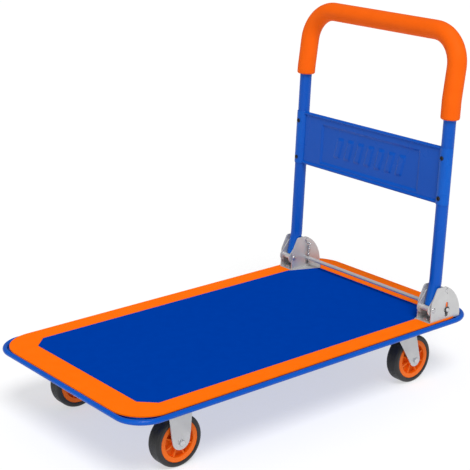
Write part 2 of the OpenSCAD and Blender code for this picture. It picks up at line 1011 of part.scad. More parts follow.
module swivel_plate_left() { swivel_plate(left); }
module swivel_plate_right() { swivel_plate(right); }

module kingpins() {
    head_h = 4;
    color(steel)
        for (s = [left, right])
            on_side(s)
                translate([swivel_x, track / 2, 0]) {
                    translate([0, 0, crown_z - gap - head_h])
                        cylinder(d = kingpin_head_d, h = head_h);
                    translate([0, 0, crown_z - gap - eps])
                        cylinder(d = kingpin_d, h = member_z + member_t + 3 - crown_z + gap);
                    translate([0, 0, member_z + eps])
                        cylinder(d = kingpin_top_d, h = member_t + 3);
                }
}

module race_balls() {
    color(steel)
        for (s = [left, right])
            on_side(s)
                translate([swivel_x, track / 2, plate_z - race_h / 2])
                    for (i = [0 : ball_count - 1])
                        rotate([0, 0, i * 360 / ball_count])
                            translate([race_r, 0, 0])
                                sphere(d = ball_d, $fn = 24);
}

// Leg of a swivel fork, seen from the side, with the axle at the origin
module swivel_leg_outline() {
    h = crown_z + fork_t - axle_z;
    lead = trail + crown_back;
    tail = 2;
    a = touch(lead, h, swivel_foot_r);
    b = touch(-tail, h, swivel_foot_r);
    polygon([[-lead, h], [-tail, h], b, [-a[0], a[1]]]);
    circle(r = swivel_foot_r);
}

module swivel_fork(side) {
    crown_r = 27;
    color(zinc)
        on_side(side)
            translate([swivel_x, track / 2, 0]) {
                translate([0, 0, crown_z])
                    difference() {
                        union() {
                            cylinder(r = crown_r, h = fork_t);
                            translate([-crown_back, -leg_gap - fork_t, 0])
                                cube([crown_back - 2 + trail, 2 * (leg_gap + fork_t), fork_t]);
                        }
                        translate([0, 0, -1])
                            cylinder(d = kingpin_d + 2 * fit, h = fork_t + 2);
                    }
                for (y = [-leg_gap - fork_t, leg_gap])
                    translate([trail, 0, axle_z])
                        xz_plate(y, fork_t)
                            difference() {
                                swivel_leg_outline();
                                circle(d = axle_d + 2 * fit);
                            }
            }
}

module swivel_fork_left() { swivel_fork(left); }
module swivel_fork_right() { swivel_fork(right); }
module swivel_axle_left() { color(steel) at_wheel(rear_axle_x, left) axle(); }
module swivel_axle_right() { color(steel) at_wheel(rear_axle_x, right) axle(); }
module swivel_axle_nut_left() { color(dark) at_wheel(rear_axle_x, left) axle_nut(); }
module swivel_axle_nut_right() { color(dark) at_wheel(rear_axle_x, right) axle_nut(); }

// Places of all sixteen caster bolts, at the underside of the top plates
module bolt_places() {
    for (x = [-front_axle_x, swivel_x], side = [-1, 1])
        translate([x, side * track / 2, plate_z])
            plate_places()
                children();
}

module caster_bolts() {
    reach = plate_t + member_t;
    color(steel)
        bolt_places() {
            translate([0, 0, -m8_nut - m8_past])
                cylinder(d = m8_d, h = m8_past + m8_nut + reach + 1);
            translate([0, 0, reach])
                hex(m8_af, m8_head);
        }
}

module caster_nuts() {
    color(steel)
        bolt_places()
            translate([0, 0, -m8_nut])
                difference() {
                    hex(m8_af, m8_nut);
                    translate([0, 0, -1])
                        cylinder(d = m8_d + 2 * fit, h = m8_nut + 2);
                }
}

// Tyre section: a band with round shoulders
module tyre() {
    shoulder = 6;
    rotate([90, 0, 0])
        rotate_extrude()
            difference() {
                union() {
                    translate([hub_r, -wheel_w / 2])
                        square([tyre_r - shoulder - hub_r, wheel_w]);
                    translate([hub_r, shoulder - wheel_w / 2])
                        square([tyre_r - hub_r, wheel_w - 2 * shoulder]);
                    for (y = [shoulder - wheel_w / 2, wheel_w / 2 - shoulder])
                        translate([tyre_r - shoulder, y])
                            circle(r = shoulder);
                }
                translate([0, -wheel_w])
                    square([hub_r + snug, 2 * wheel_w]);
            }
}

// Hub: rim, web, boss and ribs
module hub() {
    rim_t = 9.5;
    web_t = 5;
    boss_r = 14;
    rib_t = 3;
    rim_w = wheel_w - 2;
    rib_depth = wheel_w - 12;
    rotate([90, 0, 0])
        difference() {
            union() {
                rotate_extrude() {
                    translate([hub_r - rim_t, -rim_w / 2])
                        square([rim_t, rim_w]);
                    translate([hub_bore, -web_t / 2])
                        square([hub_r - rim_t / 2 - hub_bore, web_t]);
                    translate([hub_bore, -wheel_w / 2])
                        square([boss_r - hub_bore, wheel_w]);
                }
                for (i = [0 : hub_ribs - 1])
                    rotate([0, 0, i * 360 / hub_ribs])
                        translate([boss_r - 2, -rib_t / 2, -rib_depth / 2])
                            cube([hub_r - rim_t - boss_r + 3, rib_t, rib_depth]);
            }
            translate([0, 0, -wheel_w])
                cylinder(r = hub_bore, h = 2 * wheel_w);
        }
}

module bush() {
    half = leg_gap - gap;
    difference() {
        y_rod(2 * bush_r, -half, half);
        y_rod(axle_d + 2 * fit, -half - 1, half + 1);
    }
}

module tyre_front_left() { color(rubber) at_wheel(-front_axle_x, left) tyre(); }
module tyre_front_right() { color(rubber) at_wheel(-front_axle_x, right) tyre(); }
module tyre_rear_left() { color(rubber) at_wheel(rear_axle_x, left) tyre(); }
module tyre_rear_right() { color(rubber) at_wheel(rear_axle_x, right) tyre(); }
module hub_front_left() { color(orange) at_wheel(-front_axle_x, left) hub(); }
module hub_front_right() { color(orange) at_wheel(-front_axle_x, right) hub(); }
module hub_rear_left() { color(orange) at_wheel(rear_axle_x, left) hub(); }
module hub_rear_right() { color(orange) at_wheel(rear_axle_x, right) hub(); }
module bush_front_left() { color(steel) at_wheel(-front_axle_x, left) bush(); }
module bush_front_right() { color(steel) at_wheel(-front_axle_x, right) bush(); }
module bush_rear_left() { color(steel) at_wheel(rear_axle_x, left) bush(); }
module bush_rear_right() { color(steel) at_wheel(rear_axle_x, right) bush(); }

deck_pan();
cross_member_front();
cross_member_rear();
deck_ribs();
mat_border();
mat_centre();
bracket_left();
bracket_right();
bracket_bolts();
bracket_nuts();
hinge_pins();
stop_pins();
spring_anchors();
handle_tube();
hinge_sleeves();
lock_cams();
handle_grip();
cross_panel();
panel_screws();
release_rod();
rod_clips();
spring_left();
spring_right();
rigid_fork_left();
rigid_fork_right();
rigid_axles();
rigid_axle_nuts();
swivel_plate_left();
swivel_plate_right();
kingpins();
race_balls();
swivel_fork_left();
swivel_fork_right();
swivel_axle_left();
swivel_axle_right();
swivel_axle_nut_left();
swivel_axle_nut_right();
caster_bolts();
caster_nuts();
tyre_front_left();
tyre_front_right();
tyre_rear_left();
tyre_rear_right();
hub_front_left();
hub_front_right();
hub_rear_left();
hub_rear_right();
bush_front_left();
bush_front_right();
bush_rear_left();
bush_rear_right();
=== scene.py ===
# %% [markdown]
# # A folding platform cart
# This lesson builds a small warehouse cart: a pressed steel deck with a vinyl mat, a hoop handle
# that folds down over the deck, two rigid casters in front and two swivel casters behind.
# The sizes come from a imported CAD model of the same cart, the frame. The frame says where each
# part is and how it moves. Here we give each part the surface that a buyer would see and touch.

# %% Load the frame
import json
import math

import bmesh
import bpy
from mathutils import Matrix, Vector


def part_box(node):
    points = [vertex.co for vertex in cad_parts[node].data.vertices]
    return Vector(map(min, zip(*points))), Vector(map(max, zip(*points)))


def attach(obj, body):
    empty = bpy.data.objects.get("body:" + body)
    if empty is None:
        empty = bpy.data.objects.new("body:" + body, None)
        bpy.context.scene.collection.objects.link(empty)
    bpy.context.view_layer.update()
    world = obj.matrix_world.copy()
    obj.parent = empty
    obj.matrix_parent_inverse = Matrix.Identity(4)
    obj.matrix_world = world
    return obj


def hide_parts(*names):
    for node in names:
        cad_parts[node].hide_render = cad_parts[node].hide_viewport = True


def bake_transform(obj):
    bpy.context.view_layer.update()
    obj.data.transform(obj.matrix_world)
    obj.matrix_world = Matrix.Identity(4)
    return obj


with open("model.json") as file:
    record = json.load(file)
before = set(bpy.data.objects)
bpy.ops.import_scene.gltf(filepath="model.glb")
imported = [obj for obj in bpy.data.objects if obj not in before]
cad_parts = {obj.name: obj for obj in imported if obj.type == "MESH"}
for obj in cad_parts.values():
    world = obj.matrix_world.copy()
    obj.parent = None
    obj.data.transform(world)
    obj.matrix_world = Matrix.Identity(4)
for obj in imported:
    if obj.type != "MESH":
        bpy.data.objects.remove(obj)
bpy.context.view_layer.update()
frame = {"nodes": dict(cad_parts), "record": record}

JOINTS = {joint["name"]: joint for joint in frame["record"]["behaviour"]["joints"]}
ROUND = 64      # segments round a small circle
MM = 0.001

# %% [markdown]
# ## Small tools
# Most parts of a cart are one of three things: a flat plate with holes, a bent tube, or a turned
# part. A plate is drawn as a flat curve and given thickness, with a small bevel, because a pressed
# or sawn edge is never perfectly sharp. A tube is a curve with a round section. A turned part is a
# profile that is swept round an axis. One helper for each keeps the rest of the lesson short.


# %% Helpers: place a finished piece
def low(node):
    return Vector(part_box(node)[0])


def high(node):
    return Vector(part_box(node)[1])


def middle(node):
    return (low(node) + high(node)) / 2


def piece(name, mesh, body, material, stands_for=(), crease=35):
    """Puts a mesh in the scene as one piece of the cart, riding on a body."""
    obj = bpy.data.objects.new(name, mesh)
    bpy.context.scene.collection.objects.link(obj)
    mesh.materials.clear()
    mesh.materials.append(material)
    mesh.shade_smooth()
    mesh.set_sharp_from_angle(angle=math.radians(crease))
    even = obj.modifiers.new("flat_faces", "WEIGHTED_NORMAL")     # keeps wide faces flat to the eye
    even.keep_sharp = True
    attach(obj, body)
    if stands_for:
        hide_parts(*stands_for)
    return obj


def pair(name, make, body, material, node):
    """A left and a right piece. Each {} in a name stands for the side."""
    for side, mesh in both_sides(make).items():
        piece(name.format(side), mesh, body.format(side), material, [node.format(side)])


def both(name, make, body, material, node):
    """One piece out of the left and the right mesh."""
    piece(name, joined(list(both_sides(make).values())), body, material, [node])


def made(bm, name):
    """The mesh of a bmesh, as it is."""
    mesh = bpy.data.meshes.new(name)
    bm.to_mesh(mesh)
    bm.free()
    return mesh


def finished(bm, name):
    """The mesh of a bmesh, with every face looking outwards."""
    bmesh.ops.recalc_face_normals(bm, faces=bm.faces)
    return made(bm, name)


def loft(rings, name, caps=False, loop=False, rows=False):
    """Faces between rings of points, one ring to the next.

    caps closes the two ends, loop joins the last ring to the first, and rows are rings left open.
    """
    bm = bmesh.new()
    made_rings = [[bm.verts.new(point) for point in ring] for ring in rings]
    steps = list(zip(made_rings, made_rings[1:]))
    if loop:
        steps.append((made_rings[-1], made_rings[0]))
    for a, b in steps:
        for i in range(len(a) - 1 if rows else len(a)):
            j = (i + 1) % len(a)
            bm.faces.new((a[i], a[j], b[j], b[i]))
    if caps:
        bm.faces.new(made_rings[0])
        bm.faces.new(made_rings[-1])
    return finished(bm, name)


def from_curve(curve):
    """The mesh of a curve, made once and kept."""
    obj = bpy.data.objects.new("draft", curve)
    bpy.context.scene.collection.objects.link(obj)
    depsgraph = bpy.context.evaluated_depsgraph_get()
    mesh = bpy.data.meshes.new_from_object(obj.evaluated_get(depsgraph))
    bpy.data.objects.remove(obj)
    bpy.data.curves.remove(curve)
    bm = bmesh.new()
    bm.from_mesh(mesh)
    bmesh.ops.remove_doubles(bm, verts=bm.verts, dist=1e-6)
    bmesh.ops.recalc_face_normals(bm, faces=bm.faces)
    bm.to_mesh(mesh)
    bm.free()
    return mesh


# %% Helpers: plates
def circle(cx, cy, r, n=None):
    n = n or ROUND
    return [(cx + r * math.cos(2 * math.pi * i / n), cy + r * math.sin(2 * math.pi * i / n))
            for i in range(n)]


def arc(cx, cy, r, start, end, n=16):
    """Points on an arc, angles in degrees."""
    turns = [math.radians(start + (end - start) * i / n) for i in range(n + 1)]
    return [(cx + r * math.cos(t), cy + r * math.sin(t)) for t in turns]


def rounded(points, r, n=6):
    """A polygon with each corner rounded by r, or by its own radius where points are (x, y, r)."""
    out = []
    count = len(points)
    for i, p in enumerate(points):
        own = p[2] if len(p) > 2 else r
        here = Vector(p[:2])
        before = (Vector(points[i - 1][:2]) - here)
        after = (Vector(points[(i + 1) % count][:2]) - here)
        half = before.angle(after) / 2
        if own <= 0 or abs(half - math.pi / 2) < 1e-3:
            out.append(tuple(here))
            continue
        reach = min(own / math.tan(half), before.length * 0.49, after.length * 0.49)
        radius = reach * math.tan(half)
        a, b = before.normalized(), after.normalized()
        centre = here + (a + b).normalized() * (radius / math.sin(half))
        first, last = here + a * reach - centre, here + b * reach - centre
        sweep = first.angle_signed(last)
        for k in range(n + 1):
            out.append(tuple(centre + Matrix.Rotation(-sweep * k / n, 2) @ first))
    return out


def plate(outline, holes, thickness, bevel=0.3 * MM, steps=2):
    """A flat plate, drawn in X and Y, its middle at z = 0, with softened edges."""
    curve = bpy.data.curves.new("plate", "CURVE")
    curve.dimensions = "2D"
    curve.fill_mode = "BOTH"
    curve.bevel_depth = bevel
    curve.bevel_resolution = steps
    curve.offset = -bevel
    curve.extrude = thickness / 2 - bevel
    for loop in [outline, *holes]:
        spline = curve.splines.new("POLY")
        spline.points.add(len(loop) - 1)
        for point, (x, y) in zip(spline.points, loop):
            point.co = (x, y, 0, 1)
        spline.use_cyclic_u = True
    return from_curve(curve)


UPRIGHT = Matrix.Rotation(math.pi / 2, 4, "X")      # stands a plate up: its Y becomes Z
UPSIDE_DOWN = Matrix.Rotation(math.pi, 4, "X")
ALONG_Y = Matrix.Rotation(-math.pi / 2, 4, "X")     # lays a turned part along the axles


# %% Helpers: tubes and turned parts
def tube(points, r, radii=None, caps=True, n=None):
    """A round bar along points. radii is a factor on r for each point."""
    curve = bpy.data.curves.new("tube", "CURVE")
    curve.dimensions = "3D"
    curve.bevel_depth = r
    curve.bevel_resolution = max(2, (n or ROUND) // 4 - 1)
    curve.use_fill_caps = caps
    spline = curve.splines.new("POLY")
    spline.points.add(len(points) - 1)
    for i, (point, place) in enumerate(zip(spline.points, points)):
        point.co = (*place, 1)
        point.radius = radii[i] if radii else 1
    return from_curve(curve)


def turned(profile, n=None, axis="Z", closed=False):
    """A profile of (radius, height) swept round an axis. closed joins its end to its start."""
    n = n or ROUND
    bm = bmesh.new()
    rings = []
    for r, h in profile:
        if r < 1e-7:
            rings.append([bm.verts.new((0, 0, h))])
        else:
            rings.append([bm.verts.new((r * math.cos(2 * math.pi * i / n),
                                        r * math.sin(2 * math.pi * i / n), h)) for i in range(n)])
    pairs = list(zip(rings, rings[1:]))
    if closed:
        pairs.append((rings[-1], rings[0]))
    for a, b in pairs:
        for i in range(n):
            j = (i + 1) % n
            ring = [a[i % len(a)], a[j % len(a)], b[j % len(b)], b[i % len(b)]]
            corners = list(dict.fromkeys(ring))
            if len(corners) > 2:
                bm.faces.new(corners)
    mesh = finished(bm, "turned")
    if axis == "Y":
        mesh.transform(ALONG_Y)
    return mesh


def round_bar(r, half, chamfer, bore=0.0, n=40):
    """A bar or sleeve along Y with chamfered ends, its middle at y = 0."""
    return turned([(bore, -half), (r - chamfer, -half), (r, chamfer - half), (r, half - chamfer),
                   (r - chamfer, half), (bore, half)], n, axis="Y", closed=bore > 0)


def moved(mesh, *steps):
    """The mesh after the given matrices or shifts, the first one first."""
    for step in steps:
        mesh.transform(step if isinstance(step, Matrix) else Matrix.Translation(Vector(step)))
    return mesh


def joined(meshes, name="joined"):
    """One mesh out of several."""
    bm = bmesh.new()
    for mesh in meshes:
        bm.from_mesh(mesh)
    return made(bm, name)


def flipped(mesh):
    """The mesh mirrored to the other side of the cart."""
    bm = bmesh.new()
    bm.from_mesh(mesh)
    bm.transform(Matrix.Scale(-1, 4, (0, 1, 0)))
    bmesh.ops.reverse_faces(bm, faces=bm.faces)
    return made(bm, mesh.name)


def cut(mesh, cutters):
    """The mesh less some others, by Blender's exact boolean."""
    block = bpy.data.objects.new("block", mesh)
    bpy.context.scene.collection.objects.link(block)
    helpers = []
    for cutter in cutters:
        tool = bpy.data.objects.new("tool", cutter)
        bpy.context.scene.collection.objects.link(tool)
        step = block.modifiers.new("cut", "BOOLEAN")
        step.operation, step.solver, step.object = "DIFFERENCE", "EXACT", tool
        helpers.append(tool)
    depsgraph = bpy.context.evaluated_depsgraph_get()
    out = bpy.data.meshes.new_from_object(block.evaluated_get(depsgraph))
    for obj in [block, *helpers]:
        bpy.data.objects.remove(obj)
    return out


def soften(mesh, width, steps=3, angle=40):
    """Rounds every edge sharper than angle."""
    bm = bmesh.new()
    bm.from_mesh(mesh)
    bmesh.ops.remove_doubles(bm, verts=bm.verts, dist=1e-6)
    flat = [e for e in bm.edges if len(e.link_faces) == 2 and e.calc_face_angle() < 1e-3]
    bmesh.ops.dissolve_edges(bm, edges=flat, use_verts=False)
    sharp = [e for e in bm.edges
             if len(e.link_faces) == 2 and e.calc_face_angle() > math.radians(angle)]
    bmesh.ops.bevel(bm, geom=sharp, offset=width, segments=steps, profile=0.5,
                    affect="EDGES", clamp_overlap=True)
    return made(bm, mesh.name)


def prism(outline, z0, z1, holes=()):
    """A plate with square edges between two heights."""
    return moved(plate(outline, holes, z1 - z0, 0), (0, 0, (z0 + z1) / 2))


def both_sides(make):
    """Runs make for the left side, and gives the left and the right mesh."""
    left = make()
    return {"left": left, "right": flipped(left)}


# %% [markdown]
# ## Finishes
# The cart has few finishes, and each one has something small going on. Powder coat has a faint
# orange-peel skin, vinyl mat has a fine leathery grain, foam has pores, zinc plate has a soft
# mottle, and the edges of hard parts carry a painted highlight: their colour is made a little
# lighter where a bevel would catch the light. Both effects turn up on several materials, so each is
# a shader group with its own inputs. The alternative, a picture of each surface, would have to be
# painted and would not scale.


# %% Shader group: grain
def new_group(name, inputs, outputs):
    group = bpy.data.node_groups.new(name, "ShaderNodeTree")
    for title, kind, value in inputs:
        socket = group.interface.new_socket(title, in_out="INPUT", socket_type=kind)
        if value is not None:
            socket.default_value = value
    for title, kind in outputs:
        group.interface.new_socket(title, in_out="OUTPUT", socket_type=kind)
    enter = group.nodes.new("NodeGroupInput")
    leave = group.nodes.new("NodeGroupOutput")
    return group, enter, leave


def settle(node, **values):
    """Sets the constant inputs of a node. An underscore in a name stands for a space."""
    for name, value in values.items():
        node.inputs[name.replace("_", " ")].default_value = value


def build_grain():
    """Two sizes of noise over the object's own space: a height for Bump and a slow tone."""
    group, enter, leave = new_group(
        "surface_grain",
        [("Grain Scale", "NodeSocketFloat", 900.0), ("Tone Scale", "NodeSocketFloat", 14.0),
         ("Roughness", "NodeSocketFloat", 0.6)],
        [("Height", "NodeSocketFloat"), ("Tone", "NodeSocketFloat")])
    nodes, links = group.nodes, group.links
    place = nodes.new("ShaderNodeTexCoord")
    fine, slow = nodes.new("ShaderNodeTexNoise"), nodes.new("ShaderNodeTexNoise")
    settle(fine, Detail=3)
    settle(slow, Detail=2)
    links.new(place.outputs["Object"], fine.inputs["Vector"])
    links.new(place.outputs["Object"], slow.inputs["Vector"])
    links.new(enter.outputs["Grain Scale"], fine.inputs["Scale"])
    links.new(enter.outputs["Roughness"], fine.inputs["Roughness"])
    links.new(enter.outputs["Tone Scale"], slow.inputs["Scale"])
    links.new(fine.outputs["Fac"], leave.inputs["Height"])
    links.new(slow.outputs["Fac"], leave.inputs["Tone"])
    return group


GRAIN = build_grain()
print("group:", GRAIN.name)


# %% Shader group: painted edge highlight
def build_edge_highlight():
    """A painted highlight mask: 1 on outward edges and corners, broken up by noise."""
    group, enter, leave = new_group(
        "painted_edge_highlight",
        [("Start", "NodeSocketFloat", 0.52), ("End", "NodeSocketFloat", 0.62),
         ("Break Scale", "NodeSocketFloat", 120.0)],
        [("Mask", "NodeSocketFloat")])
    nodes, links = group.nodes, group.links
    shape = nodes.new("ShaderNodeNewGeometry")
    ramp = nodes.new("ShaderNodeMapRange")
    place = nodes.new("ShaderNodeTexCoord")
    noise = nodes.new("ShaderNodeTexNoise")
    mix = nodes.new("ShaderNodeMath")
    mix.operation = "MULTIPLY"
    links.new(shape.outputs["Pointiness"], ramp.inputs["Value"])
    links.new(enter.outputs["Start"], ramp.inputs["From Min"])
    links.new(enter.outputs["End"], ramp.inputs["From Max"])
    links.new(place.outputs["Object"], noise.inputs["Vector"])
    links.new(enter.outputs["Break Scale"], noise.inputs["Scale"])
    links.new(ramp.outputs["Result"], mix.inputs[0])
    links.new(noise.outputs["Fac"], mix.inputs[1])
    links.new(mix.outputs["Value"], leave.inputs["Mask"])
    return group


# the shader group that places the painted edge highlight
EDGE_HIGHLIGHT = build_edge_highlight()
print("group:", EDGE_HIGHLIGHT.name)


# %% Finish: one function for all materials
def finish(name, slot, base, shade, light, rough=(0.35, 0.5), metal=0.0, mirror=0.5, grain=900.0,
           bump=0.05, depth=0.0004, tone=14.0, edge=(0.53, 0.66), sheen=0.0):
    """A surface whose colour drifts from base towards shade, with a painted highlight in the colour
    light on its edges.

    The grain moves the normal, and the slow tone also drifts the roughness between two values.
    mirror is how strongly the skin reflects: 0.5 is a plain gloss plastic, and dull vinyl is near 0.
    """
    material = bpy.data.materials.new(name)
    material["slot"] = slot
    material.use_nodes = True
    nodes, links = material.node_tree.nodes, material.node_tree.links
    shader = nodes["Principled BSDF"]
    settle(shader, Metallic=metal, Specular_IOR_Level=mirror, Sheen_Weight=sheen,
           Sheen_Tint=(*light, 1))
    skin = nodes.new("ShaderNodeGroup")
    skin.node_tree = GRAIN
    settle(skin, Grain_Scale=grain, Tone_Scale=tone)
    # painted highlight: this mask, between the pointiness values in edge, picks the outward edges
    highlight_mask = nodes.new("ShaderNodeGroup")
    highlight_mask.node_tree = EDGE_HIGHLIGHT
    settle(highlight_mask, Start=edge[0], End=edge[1])
    drift = nodes.new("ShaderNodeMix")
    drift.data_type = "RGBA"
    settle(drift, A=(*base, 1), B=(*shade, 1))
    # mixes the painted edge highlight, in the colour light, into the base colour
    highlight_mix = nodes.new("ShaderNodeMix")
    highlight_mix.data_type = "RGBA"
    settle(highlight_mix, B=(*light, 1))
    gloss = nodes.new("ShaderNodeMapRange")
    settle(gloss, From_Min=0.3, From_Max=0.7, To_Min=rough[0], To_Max=rough[1])
    relief = nodes.new("ShaderNodeBump")
    settle(relief, Strength=bump, Distance=depth)
    for source, target in [(skin.outputs["Tone"], drift.inputs["Factor"]),
                           (drift.outputs["Result"], highlight_mix.inputs["A"]),
                           (highlight_mask.outputs["Mask"], highlight_mix.inputs["Factor"]),
                           (highlight_mix.outputs["Result"], shader.inputs["Base Color"]),
                           (skin.outputs["Tone"], gloss.inputs["Value"]),
                           (gloss.outputs["Result"], shader.inputs["Roughness"]),
                           (skin.outputs["Height"], relief.inputs["Height"]),
                           (relief.outputs["Normal"], shader.inputs["Normal"])]:
        links.new(source, target)
    return material


# The third colour of each finish is the painted highlight on its edges; the foam also uses it as its
# sheen tint.
PAINT = finish("blue_powder_coat", "blue_paint", (0.0, 0.088, 0.50), (0.0, 0.072, 0.42),
               (0.0, 0.20, 0.75), rough=(0.24, 0.32), mirror=0.18, grain=420,
               bump=0.10, depth=0.0003, tone=9)
MAT_ORANGE = finish("orange_vinyl", "mat_orange", (1.0, 0.172, 0.0), (0.96, 0.150, 0.0),
                    (1.0, 0.27, 0.03), rough=(0.55, 0.62), mirror=0.03, grain=1300, bump=0.30,
                    depth=0.0002, tone=40, edge=(0.9, 1.0))
MAT_BLUE = finish("blue_vinyl", "mat_blue", (0.0, 0.046, 0.37), (0.0, 0.040, 0.335),
                  (0.01, 0.09, 0.50), rough=(0.55, 0.62), mirror=0.0, grain=1100, bump=0.45,
                  depth=0.0003, tone=60, edge=(0.9, 1.0))
FOAM = finish("orange_foam", "grip_foam", (0.90, 0.125, 0.0), (0.83, 0.108, 0.0),
              (1.0, 0.19, 0.01), rough=(0.6, 0.72), mirror=0.12, grain=1500, bump=0.6,
              depth=0.0003, tone=30, sheen=0.08)
ZINC = finish("zinc_plate", "zinc", (0.60, 0.60, 0.60), (0.52, 0.52, 0.525), (0.82, 0.82, 0.82),
              rough=(0.36, 0.46), metal=0.45, grain=260, bump=0.10, depth=0.0002, tone=45)
STEEL = finish("bright_steel", "bright_steel", (0.60, 0.60, 0.61), (0.48, 0.48, 0.50),
               (0.85, 0.85, 0.86), rough=(0.22, 0.34), metal=0.75, grain=500, bump=0.08,
               depth=0.0002, tone=60)
DARK = finish("black_steel", "dark_steel", (0.022, 0.022, 0.025), (0.012, 0.012, 0.014),
              (0.12, 0.12, 0.13), rough=(0.32, 0.45), metal=0.4, grain=500, bump=0.1,
              depth=0.0002)
RUBBER = finish("tyre_rubber", "tyre_rubber", (0.015, 0.015, 0.015), (0.009, 0.009, 0.009),
                (0.05, 0.05, 0.05), rough=(0.42, 0.56), mirror=0.5, grain=900, bump=0.25,
                depth=0.0003, tone=35)
HUB = finish("orange_hub", "hub_plastic", (0.90, 0.150, 0.002), (0.80, 0.120, 0.001),
             (1.0, 0.24, 0.03), rough=(0.40, 0.5), mirror=0.2, grain=700, bump=0.10,
             depth=0.0003)
print("finishes:", len(bpy.data.materials))

# %% [markdown]
# ## The deck
# The deck is one sheet of steel. The press raises a flat platform, leaves a groove round it, and
# rolls the edge into a bead that stiffens the rim and is kind to shins. Every one of those
# features follows the same outline, further in or further out. So the mesh is a stack of rings:
# each ring is the outline moved inwards by some distance and placed at some height.


# %% Deck: sizes
PAN_LOW, PAN_HIGH = low("deck_pan"), high("deck_pan")
DECK_L, DECK_W = PAN_HIGH.x - PAN_LOW.x, PAN_HIGH.y - PAN_LOW.y
DECK_MID = (PAN_HIGH.x + PAN_LOW.x) / 2
CORNER_R = 58 * MM
BEAD_R = (PAN_HIGH.z - PAN_LOW.z) / 2
GROOVE = 6 * MM
SHEET = 1.5 * MM
SHEET_TOP = PAN_HIGH.z
BEAD_Z = PAN_LOW.z + BEAD_R
MAT_TOP = high("mat_border").z
print("deck", round(DECK_L, 3), "x", round(DECK_W, 3), "mat top", round(MAT_TOP, 4))


# %% Deck: rings
def ring_outline(length, width, r, n):
    """A rounded rectangle, anticlockwise, n steps to a corner."""
    out = []
    for quarter, (sx, sy) in enumerate([(1, 1), (-1, 1), (-1, -1), (1, -1)]):
        cx, cy = sx * (length / 2 - r), sy * (width / 2 - r)
        out += arc(cx, cy, r, 90 * quarter, 90 * quarter + 90, n)
    return out


def ring_stack(profile):
    """Rings of the deck's outline, the first and the last one filled. profile is (inset, height)."""
    rings = []
    for inset, z in profile:
        r = max(CORNER_R - inset, 6 * MM)
        loop = ring_outline(DECK_L - 2 * inset, DECK_W - 2 * inset, r, 20)
        rings.append([(DECK_MID + x, y, z) for x, y in loop])
    return loft(rings, "rings", caps=True)


def bow(cx, cz, r, start, end, n):
    """Arc points for a ring profile, where the first value is the inset."""
    return [(cx - r * math.cos(math.radians(start + (end - start) * i / n)),
             cz + r * math.sin(math.radians(start + (end - start) * i / n))) for i in range(n + 1)]


def deck_profile():
    wall = 2 * BEAD_R + GROOVE          # inset of the platform's edge
    floor = PAN_LOW.z + SHEET
    bend = 2.2 * MM
    top = [(wall + 30 * MM, SHEET_TOP)]
    top += bow(wall + bend, SHEET_TOP - bend, bend, 90, 0, 5)
    top += [(wall - b, z) for b, z in [(0.0, floor + 2 * MM), (0.4 * MM, floor + 0.8 * MM),
                                      (1.4 * MM, floor + 0.1 * MM)]]
    bead = bow(BEAD_R, BEAD_Z, BEAD_R, 215, -90, 26)
    under = [(wall + SHEET, PAN_LOW.z), (wall + SHEET, SHEET_TOP - SHEET - bend),
             (wall + SHEET + bend, SHEET_TOP - SHEET), (wall + 30 * MM, SHEET_TOP - SHEET)]
    return top + bead + under


deck_shell = piece("deck_shell", ring_stack(deck_profile()), "deck", PAINT, ["deck_pan"], 50)
print(deck_shell.name, len(deck_shell.data.vertices), "points")

# %% [markdown]
# ## The mat
# Two pieces of vinyl lie on the deck: a border and a centre field with cut corners. They could be
# painted on, but real vinyl is 3 mm thick and its edge catches the light, so both are real plates
# with a rounded upper edge. The border is cut out round the feet of the two hinge brackets.


# %% Mat: centre and border
FIELD_LOW, FIELD_HIGH = low("mat_centre"), high("mat_centre")
RIM_LOW, RIM_HIGH = low("mat_border"), high("mat_border")
MAT_T = RIM_HIGH.z - RIM_LOW.z
MAT_Z = (RIM_HIGH.z + RIM_LOW.z) / 2
FIELD_CUT = 28 * MM                   # each corner of the field is cut at 45 degrees
MAT_CORNER = 68 * MM
SEAM = 0.25 * MM


def field_outline(grow):
    x0, x1 = FIELD_LOW.x - grow, FIELD_HIGH.x + grow
    y0, y1 = FIELD_LOW.y - grow, FIELD_HIGH.y + grow
    c = FIELD_CUT
    return rounded([(x1 - c, y1), (x0 + c, y1), (x0, y1 - c), (x0, y0 + c),
                    (x0 + c, y0), (x1 - c, y0), (x1, y0 + c), (x1, y1 - c)], 4 * MM)


def border_outline():
    mid = (RIM_LOW.x + RIM_HIGH.x) / 2
    loop = ring_outline(RIM_HIGH.x - RIM_LOW.x, RIM_HIGH.y - RIM_LOW.y, MAT_CORNER, 24)
    return [(mid + x, y) for x, y in loop]


BRACKET_LOW, BRACKET_HIGH = low("bracket_left"), high("bracket_left")
CHEEK_T = 2.5 * MM
CHEEK_X0 = BRACKET_LOW.x + 7 * MM
CHEEK_X1 = BRACKET_HIGH.x
CHEEK_IN = BRACKET_LOW.y + 30 * MM
CHEEK_OUT = BRACKET_HIGH.y
FOOT_Z = BRACKET_LOW.z


def foot_outline(grow):
    """The foot of the left bracket, with its slanted inner flange."""
    x0, x1 = CHEEK_X0 - grow, CHEEK_X1 + grow
    return rounded([(x0, CHEEK_OUT + grow), (x0, CHEEK_IN + 2 * MM), (x0 - 7 * MM, CHEEK_IN - grow),
                    (x1 - 26 * MM, BRACKET_LOW.y - grow), (x1, CHEEK_IN - 2 * MM),
                    (x1, CHEEK_OUT + grow)], 2.5 * MM)


def mirrored(loop):
    return [(x, -y) for x, y in reversed(loop)]


def foot_cutters():
    room = foot_outline(0.6 * MM)
    return [prism(loop, MAT_Z - 2 * MAT_T, MAT_Z + 2 * MAT_T) for loop in (room, mirrored(room))]


def mat_piece(outline, holes):
    blank = prism(outline, RIM_LOW.z, RIM_HIGH.z, holes)
    return soften(cut(blank, foot_cutters()), 0.7 * MM)


